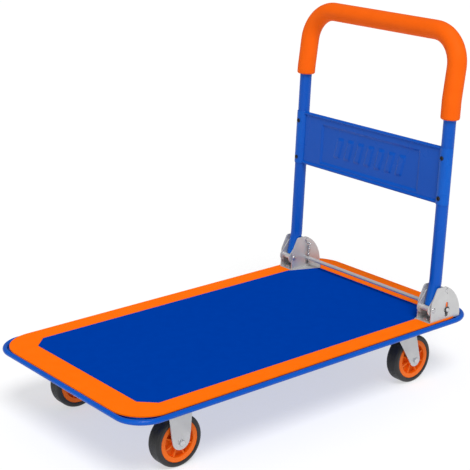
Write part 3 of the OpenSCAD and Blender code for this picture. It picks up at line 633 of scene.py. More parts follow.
mat_field = piece("mat_field", mat_piece(field_outline(-SEAM), []), "deck", MAT_BLUE,
                  ["mat_centre"])
mat_rim = piece("mat_rim", mat_piece(border_outline(), [field_outline(SEAM)]), "deck",
                MAT_ORANGE, ["mat_border"])
print("mat", len(mat_field.data.vertices) + len(mat_rim.data.vertices), "points")

# %% [markdown]
# ## The hinge brackets
# Each bracket is a folded channel: a foot bolted to the deck and two tall cheeks that carry the
# hinge pin, the stop pin and the slot for the release rod. A cheek is a flat plate with holes. The
# fold at its foot is a separate quarter-round strip, because a flat plate cannot bend by itself.


# %% Brackets: where things are
PIVOT = Vector(JOINTS["handle_fold"]["pos_m"])
ROD = middle("release_rod")
STOP = middle("stop_pins")
ANCHOR = middle("spring_anchors")
LEG_Y = (CHEEK_IN + CHEEK_OUT) / 2
CHEEK_TOP = BRACKET_HIGH.z
ROD_R = (high("release_rod").z - low("release_rod").z) / 2
ROD_DROP = JOINTS["rod_release"]["range_m"][1]
PIN_R, STOP_R = 3.5 * MM, 3.0 * MM
M8_R, M8_HOLE_R, M8_FLATS, M8_HEAD, M8_NUT = 4 * MM, 4.25 * MM, 13 * MM, 5.3 * MM, 6.5 * MM
print("pivot", tuple(round(v, 4) for v in PIVOT), "rod", tuple(round(v, 4) for v in ROD))


# %% Brackets: one cheek
def cheek_outline():
    """Upright front, slanted throat, flat top and a round back."""
    x0, x1 = CHEEK_X0, CHEEK_X1
    z0 = FOOT_Z + 1.2 * MM
    r = 70 * MM
    back = arc(x1 - r, FOOT_Z + 7 * MM, r, 0, 66, 30)
    front = rounded([(*back[-1], 0), (x0 + 20.5 * MM, CHEEK_TOP - 2 * MM, 6 * MM),
                     (x0 + 4.5 * MM, FOOT_Z + 42 * MM, 9 * MM), (x0 + 2.5 * MM, z0, 0)], 0)
    return [(x1, z0)] + back[:-1] + front


def slot_outline():
    r = ROD_R + 0.35 * MM
    z_low, z_high = ROD.z - ROD_DROP - 3 * MM, ROD.z + 11.5 * MM
    return arc(ROD.x, z_high, r, 0, 180, 10) + arc(ROD.x, z_low, r, 180, 360, 10)


def cheek(y0):
    holes = [slot_outline(), circle(PIVOT.x, PIVOT.z, PIN_R + 0.1 * MM),
             circle(STOP.x, STOP.z, STOP_R + 0.1 * MM),
             circle(ANCHOR.x, ANCHOR.z, 1.6 * MM, 20)]
    flat = plate(cheek_outline(), holes, CHEEK_T, 0.45 * MM, 3)
    return moved(flat, UPRIGHT, (0, y0 + CHEEK_T / 2, 0))


def strip(section, x0, x1):
    """A bar along X with a section of (y, z)."""
    return loft([[(x, y, z) for y, z in section] for x in (x0, x1)], "strip", caps=True)


def fold(y_edge, x0, x1, r=2.5 * MM):
    """The bend between a foot and a cheek: a quarter-round strip on the outer side of the fold."""
    steps = 7
    turns = [math.radians(90 * i / steps) for i in range(steps + 1)]
    outer = [(y_edge - r + r * math.sin(a), FOOT_Z + r - r * math.cos(a)) for a in turns]
    return strip(outer + [(y_edge - r, FOOT_Z + r)], x0, x1)


def left_bracket():
    bolts = [circle(x, LEG_Y, M8_HOLE_R) for x in BOLT_X]
    foot = moved(plate(foot_outline(0), bolts, CHEEK_T, 0.45 * MM, 3),
                 (0, 0, FOOT_Z + CHEEK_T / 2))
    return joined([foot, cheek(CHEEK_IN), cheek(CHEEK_OUT - CHEEK_T),
                   fold(CHEEK_OUT, CHEEK_X0 + 2.5 * MM, CHEEK_X1)], "bracket")


BOLT_X = [CHEEK_X0 + 13 * MM, CHEEK_X1 - 12 * MM]
pair("hinge_bracket_{}", left_bracket, "deck", ZINC, "bracket_{}")
print("brackets at y", round(LEG_Y, 4))


# %% [markdown]
# ## Bolts, nuts and pins
# Every fastener is turned or hexagonal. A bought bolt head is chamfered, so its corners are cut
# back in a curve where the cone meets the flats. The quick way to that shape is a hexagon whose
# top ring is pulled in; the chamfer then shows as a bright ring round the head.


# %% Fasteners: makers
def hexagon(across, height, bore=0.0):
    """A hexagon head or nut standing on z = 0, its top chamfered."""
    n = 48
    chamfer = 0.8 * MM

    def ring(z, cap):
        out = []
        for i in range(n):
            a = 2 * math.pi * i / n
            to_flat = (a + math.pi / 6) % (math.pi / 3) - math.pi / 6
            r = min(across / 2 / math.cos(to_flat), cap)
            out.append((r * math.cos(a), r * math.sin(a), z))
        return out

    rings = [ring(0, across), ring(height - chamfer * 2, across),
             ring(height - chamfer, across / 2 * 1.10),
             ring(height - chamfer * 0.35, across / 2 * 1.02), ring(height, across / 2 * 0.93)]
    if bore:
        rings += [ring(height, bore + 0.5 * MM), ring(height - 0.5 * MM, bore), ring(0, bore)]
    return loft(rings, "hexagon", caps=not bore, loop=bool(bore))


def stud(r, z1, pitch=1.25 * MM):
    """A threaded end that stands on z = 0: a bar whose side rises and falls once a pitch."""
    profile = [(0, 0), (r - 0.7 * MM, 0), (r, 0.7 * MM)]
    z = pitch
    while z < z1 - pitch:
        profile += [(r, z), (r - 0.35 * MM, z + pitch / 2)]
        z += pitch
    profile += [(r, z1), (0, z1)]
    return turned(profile, 32)


def washer(r0, r1, z0, z1):
    c = 0.2 * MM
    return turned([(r0, z0), (r1 - c, z0), (r1, z0 + c), (r1, z1 - c), (r1 - c, z1), (r0, z1)],
                  40, closed=True)


def rivet_pin(r, head_r, head_h, y0, y1):
    """A pin along Y from y0 to y1 with a domed head outside each end."""
    dome = [(head_r * math.cos(a), head_h * math.sin(a)) for a in
            [math.radians(9 * i) for i in range(11)]]
    profile = [(0, y0 - head_h)] + [(q, y0 - h) for q, h in reversed(dome)][1:]
    profile += [(r, y0), (r, y1)]
    profile += [(q, y1 + h) for q, h in dome][:-1] + [(0, y1 + head_h)]
    return turned(profile, 40, axis="Y")


# %% Fasteners: bracket bolts, nuts and pins
def bracket_bolt_set():
    parts = []
    for x in BOLT_X:
        neck = turned([(0, -1 * MM), (M8_R, -1 * MM), (M8_R, 1 * MM), (0, 1 * MM)], 32)
        parts.append(moved(joined([hexagon(M8_FLATS, M8_HEAD), neck]),
                           (x, LEG_Y, FOOT_Z + CHEEK_T)))
        parts.append(moved(stud(M8_R, 14 * MM), (x, LEG_Y, low("bracket_bolts").z)))
    return joined(parts)


def bracket_pin_set(place, r, head_r, head_h):
    return lambda: moved(rivet_pin(r, head_r, head_h, CHEEK_IN, CHEEK_OUT),
                         (place.x, 0, place.z))


def bracket_nut_set():
    return joined([moved(hexagon(M8_FLATS, M8_NUT, bore=M8_R), UPSIDE_DOWN,
                         (x, LEG_Y, high("bracket_nuts").z)) for x in BOLT_X])


both("foot_bolts", bracket_bolt_set, "deck", STEEL, "bracket_bolts")
both("foot_nuts", bracket_nut_set, "deck", STEEL, "bracket_nuts")
both("pivot_rivets", bracket_pin_set(PIVOT, PIN_R, 5.5 * MM, 2.4 * MM), "deck", STEEL, "hinge_pins")
both("stop_rivets", bracket_pin_set(STOP, STOP_R, 4.5 * MM, 1.6 * MM), "deck", STEEL, "stop_pins")
print("bracket fasteners done")

# %% [markdown]
# ## The handle
# One steel tube is bent into a hoop. It leans back a lot at the foot, a little along the
# uprights and more again at the top, so that the grip sits over the deck's edge. We write down
# the corners of that path and round each one with an arc, which is how a tube bender works. The
# tube and its foam sleeve share the path, so the sleeve cannot miss the tube.


# %% Handle: the bent path
def bent_path(corners, radii, step=4.0):
    """Points along straight runs joined by arcs. radii has one radius for each inner corner."""
    out = [Vector(corners[0])]
    for i in range(1, len(corners) - 1):
        here = Vector(corners[i])
        before = (Vector(corners[i - 1]) - here).normalized()
        after = (Vector(corners[i + 1]) - here).normalized()
        half = before.angle(after) / 2
        r = radii[i - 1]
        reach = r / math.tan(half)
        centre = here + (before + after).normalized() * (r / math.sin(half))
        first = here + before * reach - centre
        turn = math.pi - 2 * half
        spin = first.cross(here + after * reach - centre).normalized()
        count = max(2, round(math.degrees(turn) / step))
        for k in range(count + 1):
            out.append(centre + Matrix.Rotation(turn * k / count, 3, spin) @ first)
    out.append(Vector(corners[-1]))
    return out


TUBE_R = 12.5 * MM
TUBE_WALL = 1.5 * MM
FOOT_LEAN, UPRIGHT_LEAN, TOP_LEAN = (math.radians(a) for a in (12.9, 3.4, 8.7))
FOOT_OFFSET, FOOT_START = 10.5 * MM, 4 * MM       # the tube stands behind its hinge pin
FOOT_RISE, UPRIGHT_RISE, TOP_RISE = 50 * MM, 365 * MM, 125 * MM
BEND_R, HOOP_R = 80 * MM, 65 * MM
FOOT_AXIS = Vector((PIVOT.x + FOOT_OFFSET, 0, PIVOT.z))
FOOT_TOP = FOOT_AXIS + Vector((FOOT_RISE * math.tan(FOOT_LEAN), 0, FOOT_RISE))
NECK = FOOT_TOP + Vector((UPRIGHT_RISE * math.tan(UPRIGHT_LEAN), 0, UPRIGHT_RISE))
BAR = NECK + Vector((TOP_RISE * math.tan(TOP_LEAN), 0, TOP_RISE))
UP_FOOT = Vector((math.sin(FOOT_LEAN), 0, math.cos(FOOT_LEAN)))
UP_RUN = Vector((math.sin(UPRIGHT_LEAN), 0, math.cos(UPRIGHT_LEAN)))


def on_leg(point, side):
    return Vector((point.x, side * LEG_Y, point.z))


def hoop_path(start_left, start_right):
    """The handle's path from one leg over the top and down the other."""
    left = [on_leg(p, 1) for p in start_left]
    right = [on_leg(p, -1) for p in reversed(start_right)]
    corners = left + [on_leg(BAR, 1), on_leg(BAR, -1)] + right
    bends = [BEND_R] * (len(left) - 1) + [HOOP_R, HOOP_R] + [BEND_R] * (len(right) - 1)
    return bent_path(corners, bends)


foot_end = FOOT_AXIS + UP_FOOT * FOOT_START
tube_path = hoop_path([foot_end, FOOT_TOP, NECK], [foot_end, FOOT_TOP, NECK])
print("bar at", tuple(round(v, 4) for v in BAR), "path of", len(tube_path), "points")


# %% Handle: tube
def handle_tube_mesh():
    """The swept tube, open at the feet, with a wall that can be seen from below."""
    outer, inner = (tube(tube_path, r, caps=False, n=48) for r in (TUBE_R, TUBE_R - TUBE_WALL))
    inner.flip_normals()
    bm = bmesh.new()
    bm.from_mesh(joined([outer, inner]))
    ends = {}
    for edge in [e for e in bm.edges if e.is_boundary]:
        ends.setdefault(edge.verts[0].co.y > 0, []).append(edge)
    for edges in ends.values():
        bmesh.ops.bridge_loops(bm, edges=edges)
    return finished(bm, "hoop")


handle_hoop = piece("handle_hoop", handle_tube_mesh(), "handle", PAINT, ["handle_tube"], 40)
print(handle_hoop.name, len(handle_hoop.data.vertices), "points")


# %% [markdown]
# ## The foam sleeve
# The grip is closed-cell foam pushed on over the tube. It follows every bend, and its cut ends are
# slightly soft. Each point of a curve has its own radius, so the ends are rounded by shrinking the
# radius over the last few points instead of by modelling a cap.


# %% Handle: grip
GRIP_R, GRIP_SOFT = 19 * MM, 4 * MM
GRIP_BELOW_NECK = 8 * MM, 34 * MM     # the sleeve reaches further down on the right


def densify(points, step):
    out = []
    for a, b in zip(points, points[1:]):
        count = max(1, math.ceil((b - a).length / step))
        out += [a.lerp(b, k / count) for k in range(count)]
    return out + [points[-1]]


def point_at(points, lengths, mark):
    """The place on a run of points where the length from its start is mark."""
    for i in range(len(points) - 1):
        if mark <= lengths[i + 1] + 1e-9:
            t = (mark - lengths[i]) / (lengths[i + 1] - lengths[i])
            return points[i].lerp(points[i + 1], max(0, min(1, t)))
    return points[-1]


def grip_mesh():
    """The sleeve. Each end gets a few close points whose radius falls in a quarter circle."""
    neck_trim = BEND_R * math.tan((TOP_LEAN - UPRIGHT_LEAN) / 2)
    left_end, right_end = (NECK - UP_RUN * (neck_trim + below) for below in GRIP_BELOW_NECK)
    spine = densify(hoop_path([left_end, NECK], [right_end, NECK]), 2.5 * MM)
    lengths = [0.0]
    for a, b in zip(spine, spine[1:]):
        lengths.append(lengths[-1] + (b - a).length)
    length = lengths[-1]
    stops = [GRIP_SOFT * (1 - math.cos(math.radians(90 * k / 6))) for k in range(6)]
    marks = stops + [x for x in lengths if GRIP_SOFT <= x <= length - GRIP_SOFT] + \
        [length - s for s in reversed(stops)]
    radii = []
    for mark in marks:
        near = min(mark, length - mark, GRIP_SOFT)
        fall = 1 - math.sqrt(max(0, 1 - (1 - near / GRIP_SOFT) ** 2))
        radii.append(1 - fall * GRIP_SOFT / GRIP_R)
    return tube([point_at(spine, lengths, mark) for mark in marks], GRIP_R, radii=radii, n=56)


foam_sleeve = piece("foam_sleeve", grip_mesh(), "handle", FOAM, ["handle_grip"], 50)
print(foam_sleeve.name, len(foam_sleeve.data.vertices), "points")

# %% [markdown]
# ## The panel between the uprights
# A thin sheet is pressed with a shallow rectangular field and a row of slanted ribs, its long
# edges are rolled into a bead, and its ends wrap round the front of both tubes. The sheet is
# modelled as a fine grid of points. Each point is pushed back by a depth that a few smooth steps
# add up to, which is what the press does to the metal. Modelling each rib as its own solid would
# leave hard joins that a pressed sheet does not have.

# %% Panel: its own frame
PANEL_RISE, PANEL_H = 159.5 * MM, 113.5 * MM
PANEL_T = 1.2 * MM
ROLL_R = 3 * MM
PRESS_L, PRESS_LOW, PRESS_H = 282 * MM, 12.5 * MM, 81.5 * MM
PRESS_DEPTH = 2.8 * MM
PANEL_BASE = FOOT_TOP + UP_RUN * (PANEL_RISE / math.cos(UPRIGHT_LEAN))
PANEL_PLACE = Matrix.Translation(PANEL_BASE) @ Matrix.Rotation(UPRIGHT_LEAN, 4, "Y")
WRAP_R = TUBE_R + 0.12 * MM
SHEET_X = -4.5 * MM                   # the sheet lies in front of the tubes' centre lines


def smooth(x):
    x = max(0.0, min(1.0, x))
    return x * x * (3 - 2 * x)


def inside(value, low_edge, high_edge, soft):
    """1 between two edges, 0 outside, with a smooth step of width soft at each."""
    return smooth((value - low_edge) / soft + 0.5) * smooth((high_edge - value) / soft + 0.5)


RIB_PITCH, RIB_W, RIB_H, RIB_SLANT, RIBS = 30 * MM, 15 * MM, 40 * MM, 10 * MM, 7
PRESS_SLOPE = 3.6 * MM                # width of the step at the edge of the pressed field


def press_depth(y, z):
    """How far the press has pushed the sheet back at a place on it."""
    field = inside(y, -PRESS_L / 2, PRESS_L / 2, PRESS_SLOPE) * \
        inside(z, PRESS_LOW, PRESS_LOW + PRESS_H, PRESS_SLOPE)
    depth = field * PRESS_DEPTH
    mid = PRESS_LOW + PRESS_H / 2
    for i in range(RIBS):
        centre = (i - (RIBS - 1) / 2) * RIB_PITCH - (z - mid) / RIB_H * RIB_SLANT
        depth -= PRESS_DEPTH * 0.8 * inside(y, centre - RIB_W / 2, centre + RIB_W / 2, 5 * MM) * \
            inside(z, mid - RIB_H / 2, mid + RIB_H / 2, 6 * MM)
    return depth


# %% Panel: sheet
def panel_lines():
    """Places across and up the sheet, close together where the press works."""
    step = 1.6 * MM
    count = round(2 * (LEG_Y - 4 * MM) / step)
    across = [-(LEG_Y - 4 * MM) + 2 * (LEG_Y - 4 * MM) * i / count for i in range(count + 1)]
    rows = round((PANEL_H - 4 * ROLL_R) / step)
    up = [2 * ROLL_R + (PANEL_H - 4 * ROLL_R) * i / rows for i in range(rows + 1)]
    return across, up


def rolled(top):
    """Section of a rolled edge: it swells out of the sheet's face and curls round to the back."""
    centre_z = PANEL_H - ROLL_R if top else ROLL_R
    sign = 1 if top else -1
    out = []
    for i in range(17):
        a = math.radians(-50 + 300 * i / 16)
        out.append((-ROLL_R * math.cos(a), centre_z + sign * ROLL_R * math.sin(a)))
    return out


def panel_sheet():
    across, up = panel_lines()
    columns = []
    for y in across:
        column = list(reversed(rolled(False))) + [(press_depth(y, z), z) for z in up] + rolled(True)
        columns.append([(SHEET_X + x, y, z) for x, z in column])
    return loft(columns, "sheet", rows=True)


def wrap(side):
    """One end of the sheet: it runs on from the flat and hugs the front of a tube."""
    centre = side * LEG_Y
    steps = 40
    outer_r = WRAP_R + PANEL_T
    section = [(WRAP_R, 1.2 * MM), (WRAP_R + 0.2 * MM, 0.15 * MM), (outer_r - 0.35 * MM, 0),
               (outer_r, 0.4 * MM)]
    section += [(r, PANEL_H - z) for r, z in reversed(section)]
    loops = []
    for i in range(steps + 1):
        a = math.radians(-8 + 196 * i / steps)
        dy, dx = side * math.cos(a), -math.sin(a)
        loops.append([(dx * r, centre + dy * r, z) for r, z in section])
    return loft(loops, "wrap", caps=True)


panel = piece("pressed_panel", moved(panel_sheet(), PANEL_PLACE), "handle", PAINT,
              ["cross_panel"], 60)
solid = panel.modifiers.new("thickness", "SOLIDIFY")
solid.thickness, solid.offset = PANEL_T, 0
for name, side in (("left", 1), ("right", -1)):
    piece(f"panel_wrap_{name}", moved(wrap(side), PANEL_PLACE), "handle", PAINT, (), 50)
print("panel", len(panel.data.vertices), "points")


# %% Panel: screws
def pan_head(r, h):
    """A domed screw head with a hexagon socket, its underside at z = 0."""
    dome = [(r * math.cos(a), h * (0.25 + 0.75 * math.sin(a))) for a in
            [math.radians(8 * i) for i in range(9)]]
    socket = r * 0.45
    inner = [(socket, h * 0.98), (socket * 0.96, h * 0.3), (0, h * 0.25)]
    return turned([(0, 0), (r, 0)] + dome + inner, 48)


def panel_screws():
    seat = WRAP_R + PANEL_T
    heads = [moved(pan_head(4.4 * MM, 2.3 * MM), Matrix.Rotation(-math.pi / 2, 4, "Y"),
                   (-seat + 0.2 * MM, side * LEG_Y, z))
             for side in (1, -1) for z in (13 * MM, PANEL_H - 20.5 * MM)]
    return moved(joined(heads), PANEL_PLACE)


piece("panel_screw_heads", panel_screws(), "handle", DARK, ["panel_screws"])
print("panel screws done")


# %% [markdown]
# ## Inside the brackets
# Two plates on the handle turn with it round a bright sleeve, and a long rod runs across the
# cart through a slot in each cheek. A spring at each bracket pulls the rod up, and a foot on the
# rod frees the handle. The springs are real coils here.


# %% Hinge: sleeves and lock cams
def sleeve_set():
    half = (CHEEK_OUT - CHEEK_IN) / 2 - CHEEK_T - 0.4 * MM
    bar = round_bar(5.5 * MM, half, 0.5 * MM, PIN_R + 0.1 * MM)
    return moved(bar, (PIVOT.x, LEG_Y, PIVOT.z))


both("hinge_sleeve_pair", sleeve_set, "handle", ZINC, "hinge_sleeves")


def cam_outline():
    """A strip up the foot of the tube, round the pin, and a nose that points back at the rod."""
    reach, half = 33 * MM, 9.5 * MM
    along = Matrix.Rotation(-FOOT_LEAN, 2)
    foot = Vector((FOOT_OFFSET, 0))
    tip = [foot + along @ Vector(p) for p in arc(0, 34 * MM - half, half, 0, 180, 14)]
    return arc(0, 0, reach, -26, 5, 10) + [tuple(p) for p in tip] + arc(0, 0, 12.5 * MM, 150, 290, 14)


def cam_set():
    hole = circle(0, 0, 5.65 * MM, 40)
    shift = TUBE_R + 0.4 * MM + 1.25 * MM
    return joined([moved(plate(cam_outline(), [hole], 2.4 * MM, 0.35 * MM), UPRIGHT,
                         (PIVOT.x, LEG_Y + s * shift, PIVOT.z)) for s in (1, -1)])


both("lock_cam_set", cam_set, "handle", ZINC, "lock_cams")
print("hinge inner parts done")


# %% Release rod and clips
piece("foot_rod", moved(round_bar(ROD_R, high("release_rod").y, 0.8 * MM, n=48),
                        (ROD.x, 0, ROD.z)), "release_rod", ZINC, ["release_rod"])
both("rod_clip_pair", lambda: moved(washer(ROD_R + 0.05 * MM, 6.5 * MM, 0, 1.2 * MM), ALONG_Y,
                                    (ROD.x, CHEEK_OUT + 0.4 * MM, ROD.z)),
     "release_rod", DARK, "rod_clips")


# %% Springs
COIL_R, WIRE_R, TURNS = 2.9 * MM, 0.6 * MM, 11


def spring_path(side):
    """A hook round the rod, the coil, and a hook over the anchor pin."""
    mid = middle(f"spring_{side}")
    y = abs(mid.y)
    z0, z1 = low(f"spring_{side}").z + 2 * MM, high(f"spring_{side}").z - 1 * MM
    out = []
    hook = ROD_R + WIRE_R + 0.15 * MM
    out += [Vector((x, y, z)) for x, z in arc(ROD.x, ROD.z, hook, -200, 0, 14)]
    out.append(Vector((ROD.x + COIL_R, y, (ROD.z + z0) / 2 + 1 * MM)))
    steps = 18
    for i in range(TURNS * steps + 1):
        a = 2 * math.pi * i / steps
        z = z0 + (z1 - z0) * i / (TURNS * steps)
        out.append(Vector((ROD.x + COIL_R * math.cos(a), y + COIL_R * math.sin(a), z)))
    small = 1.5 * MM + WIRE_R + 0.1 * MM
    return out + [Vector((x, y, z)) for x, z in arc(ROD.x, ANCHOR.z, small, 0, 200, 12)]


for side, sign in (("left", 1), ("right", -1)):
    coil = tube(spring_path(side), WIRE_R, n=12)
    if sign < 0:
        coil = flipped(coil)
    spring = bpy.data.objects.new(f"return_spring_{side}", coil)
    bpy.context.scene.collection.objects.link(spring)
    coil.materials.append(STEEL)
    coil.shade_smooth()
    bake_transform(spring)
    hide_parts(f"spring_{side}")


def anchor_set():
    y0 = low("spring_left").y - 2 * MM
    y1 = CHEEK_IN + 3 * MM
    pin = turned([(0, y0 - 1 * MM), (2.0 * MM, y0 - 1 * MM), (2.5 * MM, y0 - 0.5 * MM), (2.5 * MM, y0),
                  (1.5 * MM, y0 + 0.2 * MM), (1.5 * MM, y1), (0, y1)], 24, axis="Y")
    return moved(pin, (ANCHOR.x, 0, ANCHOR.z))


both("anchor_pins", anchor_set, "deck", STEEL, "spring_anchors")
print("springs done")

# %% [markdown]
# ## Casters
# A rigid caster is a plate with two legs. A swivel caster has the same legs on a crown that turns
# on a ball race under its plate. The legs are plates with a soft edge. The wheel is two turned
# parts: a black tyre with fine grooves near its shoulders, and an orange hub with ribs.


# %% Casters: sizes
AXLE_Z = middle("rigid_axles").z
TRACK_Y = middle("tyre_front_left").y
FRONT_X = middle("tyre_front_left").x
REAR_X = middle("tyre_rear_left").x
SWIVEL = Vector(JOINTS["swivel_left_turn"]["pos_m"])
WHEEL_R = high("tyre_front_left").z - AXLE_Z
WHEEL_W = high("tyre_front_left").y - low("tyre_front_left").y
HUB_R = (high("hub_front_left").z - low("hub_front_left").z) / 2
FORK_T = 2.5 * MM
AXLE_R = 3 * MM
PLATE_L, PLATE_W, PLATE_INSET = 95 * MM, 70 * MM, 10 * MM      # a caster's plate and its holes
LEG_IN = WHEEL_W / 2 + 2.5 * MM
PLATE_TOP = high("rigid_fork_left").z
PLATE_T = 3 * MM
CROWN_TOP = high("swivel_fork_left").z
TRAIL = REAR_X - SWIVEL.x
print("wheel", round(WHEEL_R * 2, 4), "wide", round(WHEEL_W, 4), "trail", round(TRAIL, 4))


# %% Casters: rigid fork
def tangent_angle(x, z, r):
    """Direction of the point where a line from (x, z) touches a circle round the axle, +X side."""
    return math.degrees(math.atan2(z, x) - math.acos(r / math.hypot(x, z)))


def rigid_leg():
    h = PLATE_TOP - PLATE_T - AXLE_Z
    top, waist, waist_z, r, lift = 27 * MM, 21 * MM, 16 * MM, 19 * MM, 5 * MM
    a = tangent_angle(waist, waist_z - lift, r)
    loop = arc(0, lift, r, a, -180 - a, 28)
    return loop + [(-waist, waist_z), (-top, h), (top, h), (waist, waist_z)]


def leg_pair(loop, x):
    """Two legs of the same outline, one on each side of a wheel whose axle is at x."""
    offset = LEG_IN + FORK_T / 2
    return [moved(plate(loop, [circle(0, 0, AXLE_R + 0.05 * MM, 40)], FORK_T, 0.5 * MM, 3),
                  UPRIGHT, (x, TRACK_Y + y, AXLE_Z)) for y in (offset, -offset)]


def plate_bolt_places():
    """The four bolts of a caster's plate, from its middle."""
    x, y = PLATE_L / 2 - PLATE_INSET, PLATE_W / 2 - PLATE_INSET
    return [(sx * x, sy * y) for sx in (1, -1) for sy in (1, -1)]


def top_plate_mesh():
    x, y = PLATE_L / 2, PLATE_W / 2
    holes = [circle(*place, M8_HOLE_R) for place in plate_bolt_places()]
    return plate(rounded([(x, y), (-x, y), (-x, -y), (x, -y)], 8 * MM), holes, PLATE_T, 0.5 * MM, 3)


def rigid_fork():
    legs = leg_pair(rigid_leg(), FRONT_X)
    roots = [moved(inner_fold(27 * MM), Matrix.Scale(s, 4, (0, 1, 0)),
                   (FRONT_X, TRACK_Y + s * LEG_IN, PLATE_TOP - PLATE_T)) for s in (1, -1)]
    roof = moved(top_plate_mesh(), (FRONT_X, TRACK_Y, PLATE_TOP - PLATE_T / 2))
    return joined([roof, *legs, *roots])


def inner_fold(half, r=3 * MM, lap=0.1 * MM):
    """The round inside a bend where a leg leaves the plate, running along X under z = 0."""
    bend = [(-r + r * math.sin(math.radians(a)), -r + r * math.cos(math.radians(a)))
            for a in range(0, 91, 15)]
    return strip([(lap, lap), (-r, lap)] + bend + [(lap, -r)], -half, half)


pair("rigid_caster_{}", rigid_fork, "deck", ZINC, "rigid_fork_{}")
print("rigid casters done")


# %% Casters: swivel fork and its plate
def swivel_leg():
    h = CROWN_TOP - AXLE_Z
    lead, tail, r = TRAIL + 28 * MM, 2 * MM, 13.5 * MM
    back = tangent_angle(-tail, h, r)
    front = 180 - tangent_angle(lead, h, r)
    loop = arc(0, 0, r, back, front - 360, 28)
    return loop + [(-lead, h), (-tail, h)]


def swivel_fork():
    legs = leg_pair(swivel_leg(), REAR_X)
    half = LEG_IN + FORK_T
    r = 27 * MM
    side = math.degrees(math.asin(half / r))
    loop = arc(0, 0, r, side, 180 - side, 16)
    loop += [(-28 * MM, half), (-28 * MM, -half)]
    loop += arc(0, 0, r, 180 + side, 360 - side, 16) + [(26 * MM, -half), (26 * MM, half)]
    crown = moved(plate(loop, [circle(0, 0, 6.1 * MM, 40)], FORK_T, 0.5 * MM, 3),
                  (SWIVEL.x, TRACK_Y, CROWN_TOP - FORK_T / 2))
    raceway = moved(turned([(15 * MM, 0), (15 * MM, 0.6 * MM), (16 * MM, 0.25 * MM),
                            (22 * MM, 0.25 * MM), (23 * MM, 0.6 * MM), (23 * MM, 0)], 64,
                           closed=True), (SWIVEL.x, TRACK_Y, CROWN_TOP - 0.3 * MM))
    roots = [moved(inner_fold(26 * MM), Matrix.Scale(s, 4, (0, 1, 0)),
                   (SWIVEL.x - 1 * MM, TRACK_Y + s * LEG_IN, CROWN_TOP - FORK_T)) for s in (1, -1)]
    return joined([crown, raceway, *legs, *roots])


def swivel_plate():
    roof = moved(top_plate_mesh(), (SWIVEL.x, TRACK_Y, PLATE_TOP - PLATE_T / 2))
    z0 = low("swivel_plate_left").z
    skirt = turned([(24.6 * MM, z0), (26.4 * MM, z0), (27 * MM, z0 + 0.6 * MM),
                    (27 * MM, PLATE_TOP - PLATE_T + 0.2 * MM), (24.6 * MM, PLATE_TOP - PLATE_T)],
                   72, closed=True)
    return joined([roof, moved(skirt, (SWIVEL.x, TRACK_Y, 0))])


pair("swivel_caster_{}", swivel_fork, "swivel_{}", ZINC, "swivel_fork_{}")
pair("swivel_top_{}", swivel_plate, "deck", ZINC, "swivel_plate_{}")


# %% Casters: axle bolts and nuts
AXLE_AF = high("swivel_axle_nut_left").z - low("swivel_axle_nut_left").z


def axle_mesh(x):
    out = LEG_IN + FORK_T
    end = TRACK_Y - low("swivel_axle_left").y
    r = AXLE_R
    shank = turned([(0, -end), (r - 0.6 * MM, -end), (r, 0.6 * MM - end), (r, out + 0.5 * MM),
                    (0, out + 0.5 * MM)], 40, axis="Y")
    head = moved(hexagon(AXLE_AF, high("swivel_axle_left").y - TRACK_Y - out),
                 ALONG_Y, (0, out, 0))
    return moved(joined([shank, head]), (x, TRACK_Y, AXLE_Z))


def axle_nut_mesh(x):
    out = LEG_IN + FORK_T
    height = high("swivel_axle_nut_left").y - low("swivel_axle_nut_left").y
    return moved(hexagon(AXLE_AF, height, bore=AXLE_R), UPRIGHT, (x, TRACK_Y - out, AXLE_Z))


both("rigid_axle_bolts", lambda: axle_mesh(FRONT_X), "deck", STEEL, "rigid_axles")
both("rigid_axle_nut_pair", lambda: axle_nut_mesh(FRONT_X), "deck", DARK, "rigid_axle_nuts")
pair("swivel_bolt_{}", lambda: axle_mesh(REAR_X), "swivel_{}", STEEL, "swivel_axle_{}")
pair("swivel_nut_{}", lambda: axle_nut_mesh(REAR_X), "swivel_{}", DARK, "swivel_axle_nut_{}")


# %% Casters: plate bolts
def plate_bolt_sets():
    heads, nuts = [], []
    foot, top = low("caster_bolts").z, high("caster_bolts").z - 5.5 * MM
    for middle_x in (FRONT_X, SWIVEL.x):
        for dx, dy in plate_bolt_places():
            x, y = middle_x + dx, TRACK_Y + dy
            heads.append(moved(hexagon(M8_FLATS, M8_HEAD), (x, y, top)))
            heads.append(moved(stud(M8_R, top - foot + 1 * MM), (x, y, foot)))
            nuts.append(moved(hexagon(M8_FLATS, M8_NUT, bore=M8_R), UPSIDE_DOWN,
                              (x, y, low("caster_nuts").z + M8_NUT)))
    return joined(heads), joined(nuts)


plate_bolts, plate_nuts = plate_bolt_sets()
both("plate_bolt_set", lambda: plate_bolts, "deck", STEEL, "caster_bolts")
both("plate_nut_set", lambda: plate_nuts, "deck", STEEL, "caster_nuts")
print("caster hardware done")


# %% Wheels: tyre
SHOULDER = 6 * MM
TYRE_ROUND, HUB_ROUND = ((144, 120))


def shoulder_arc(side, start, end):
    """A tyre's shoulder as (radius, height), angles in degrees, on the side 1 or -1."""
    return [(WHEEL_R - SHOULDER + SHOULDER * math.cos(math.radians(a)),
             side * (WHEEL_W / 2 - SHOULDER + SHOULDER * math.sin(math.radians(a))))
            for a in range(start, end, 9 if end > start else -9)]


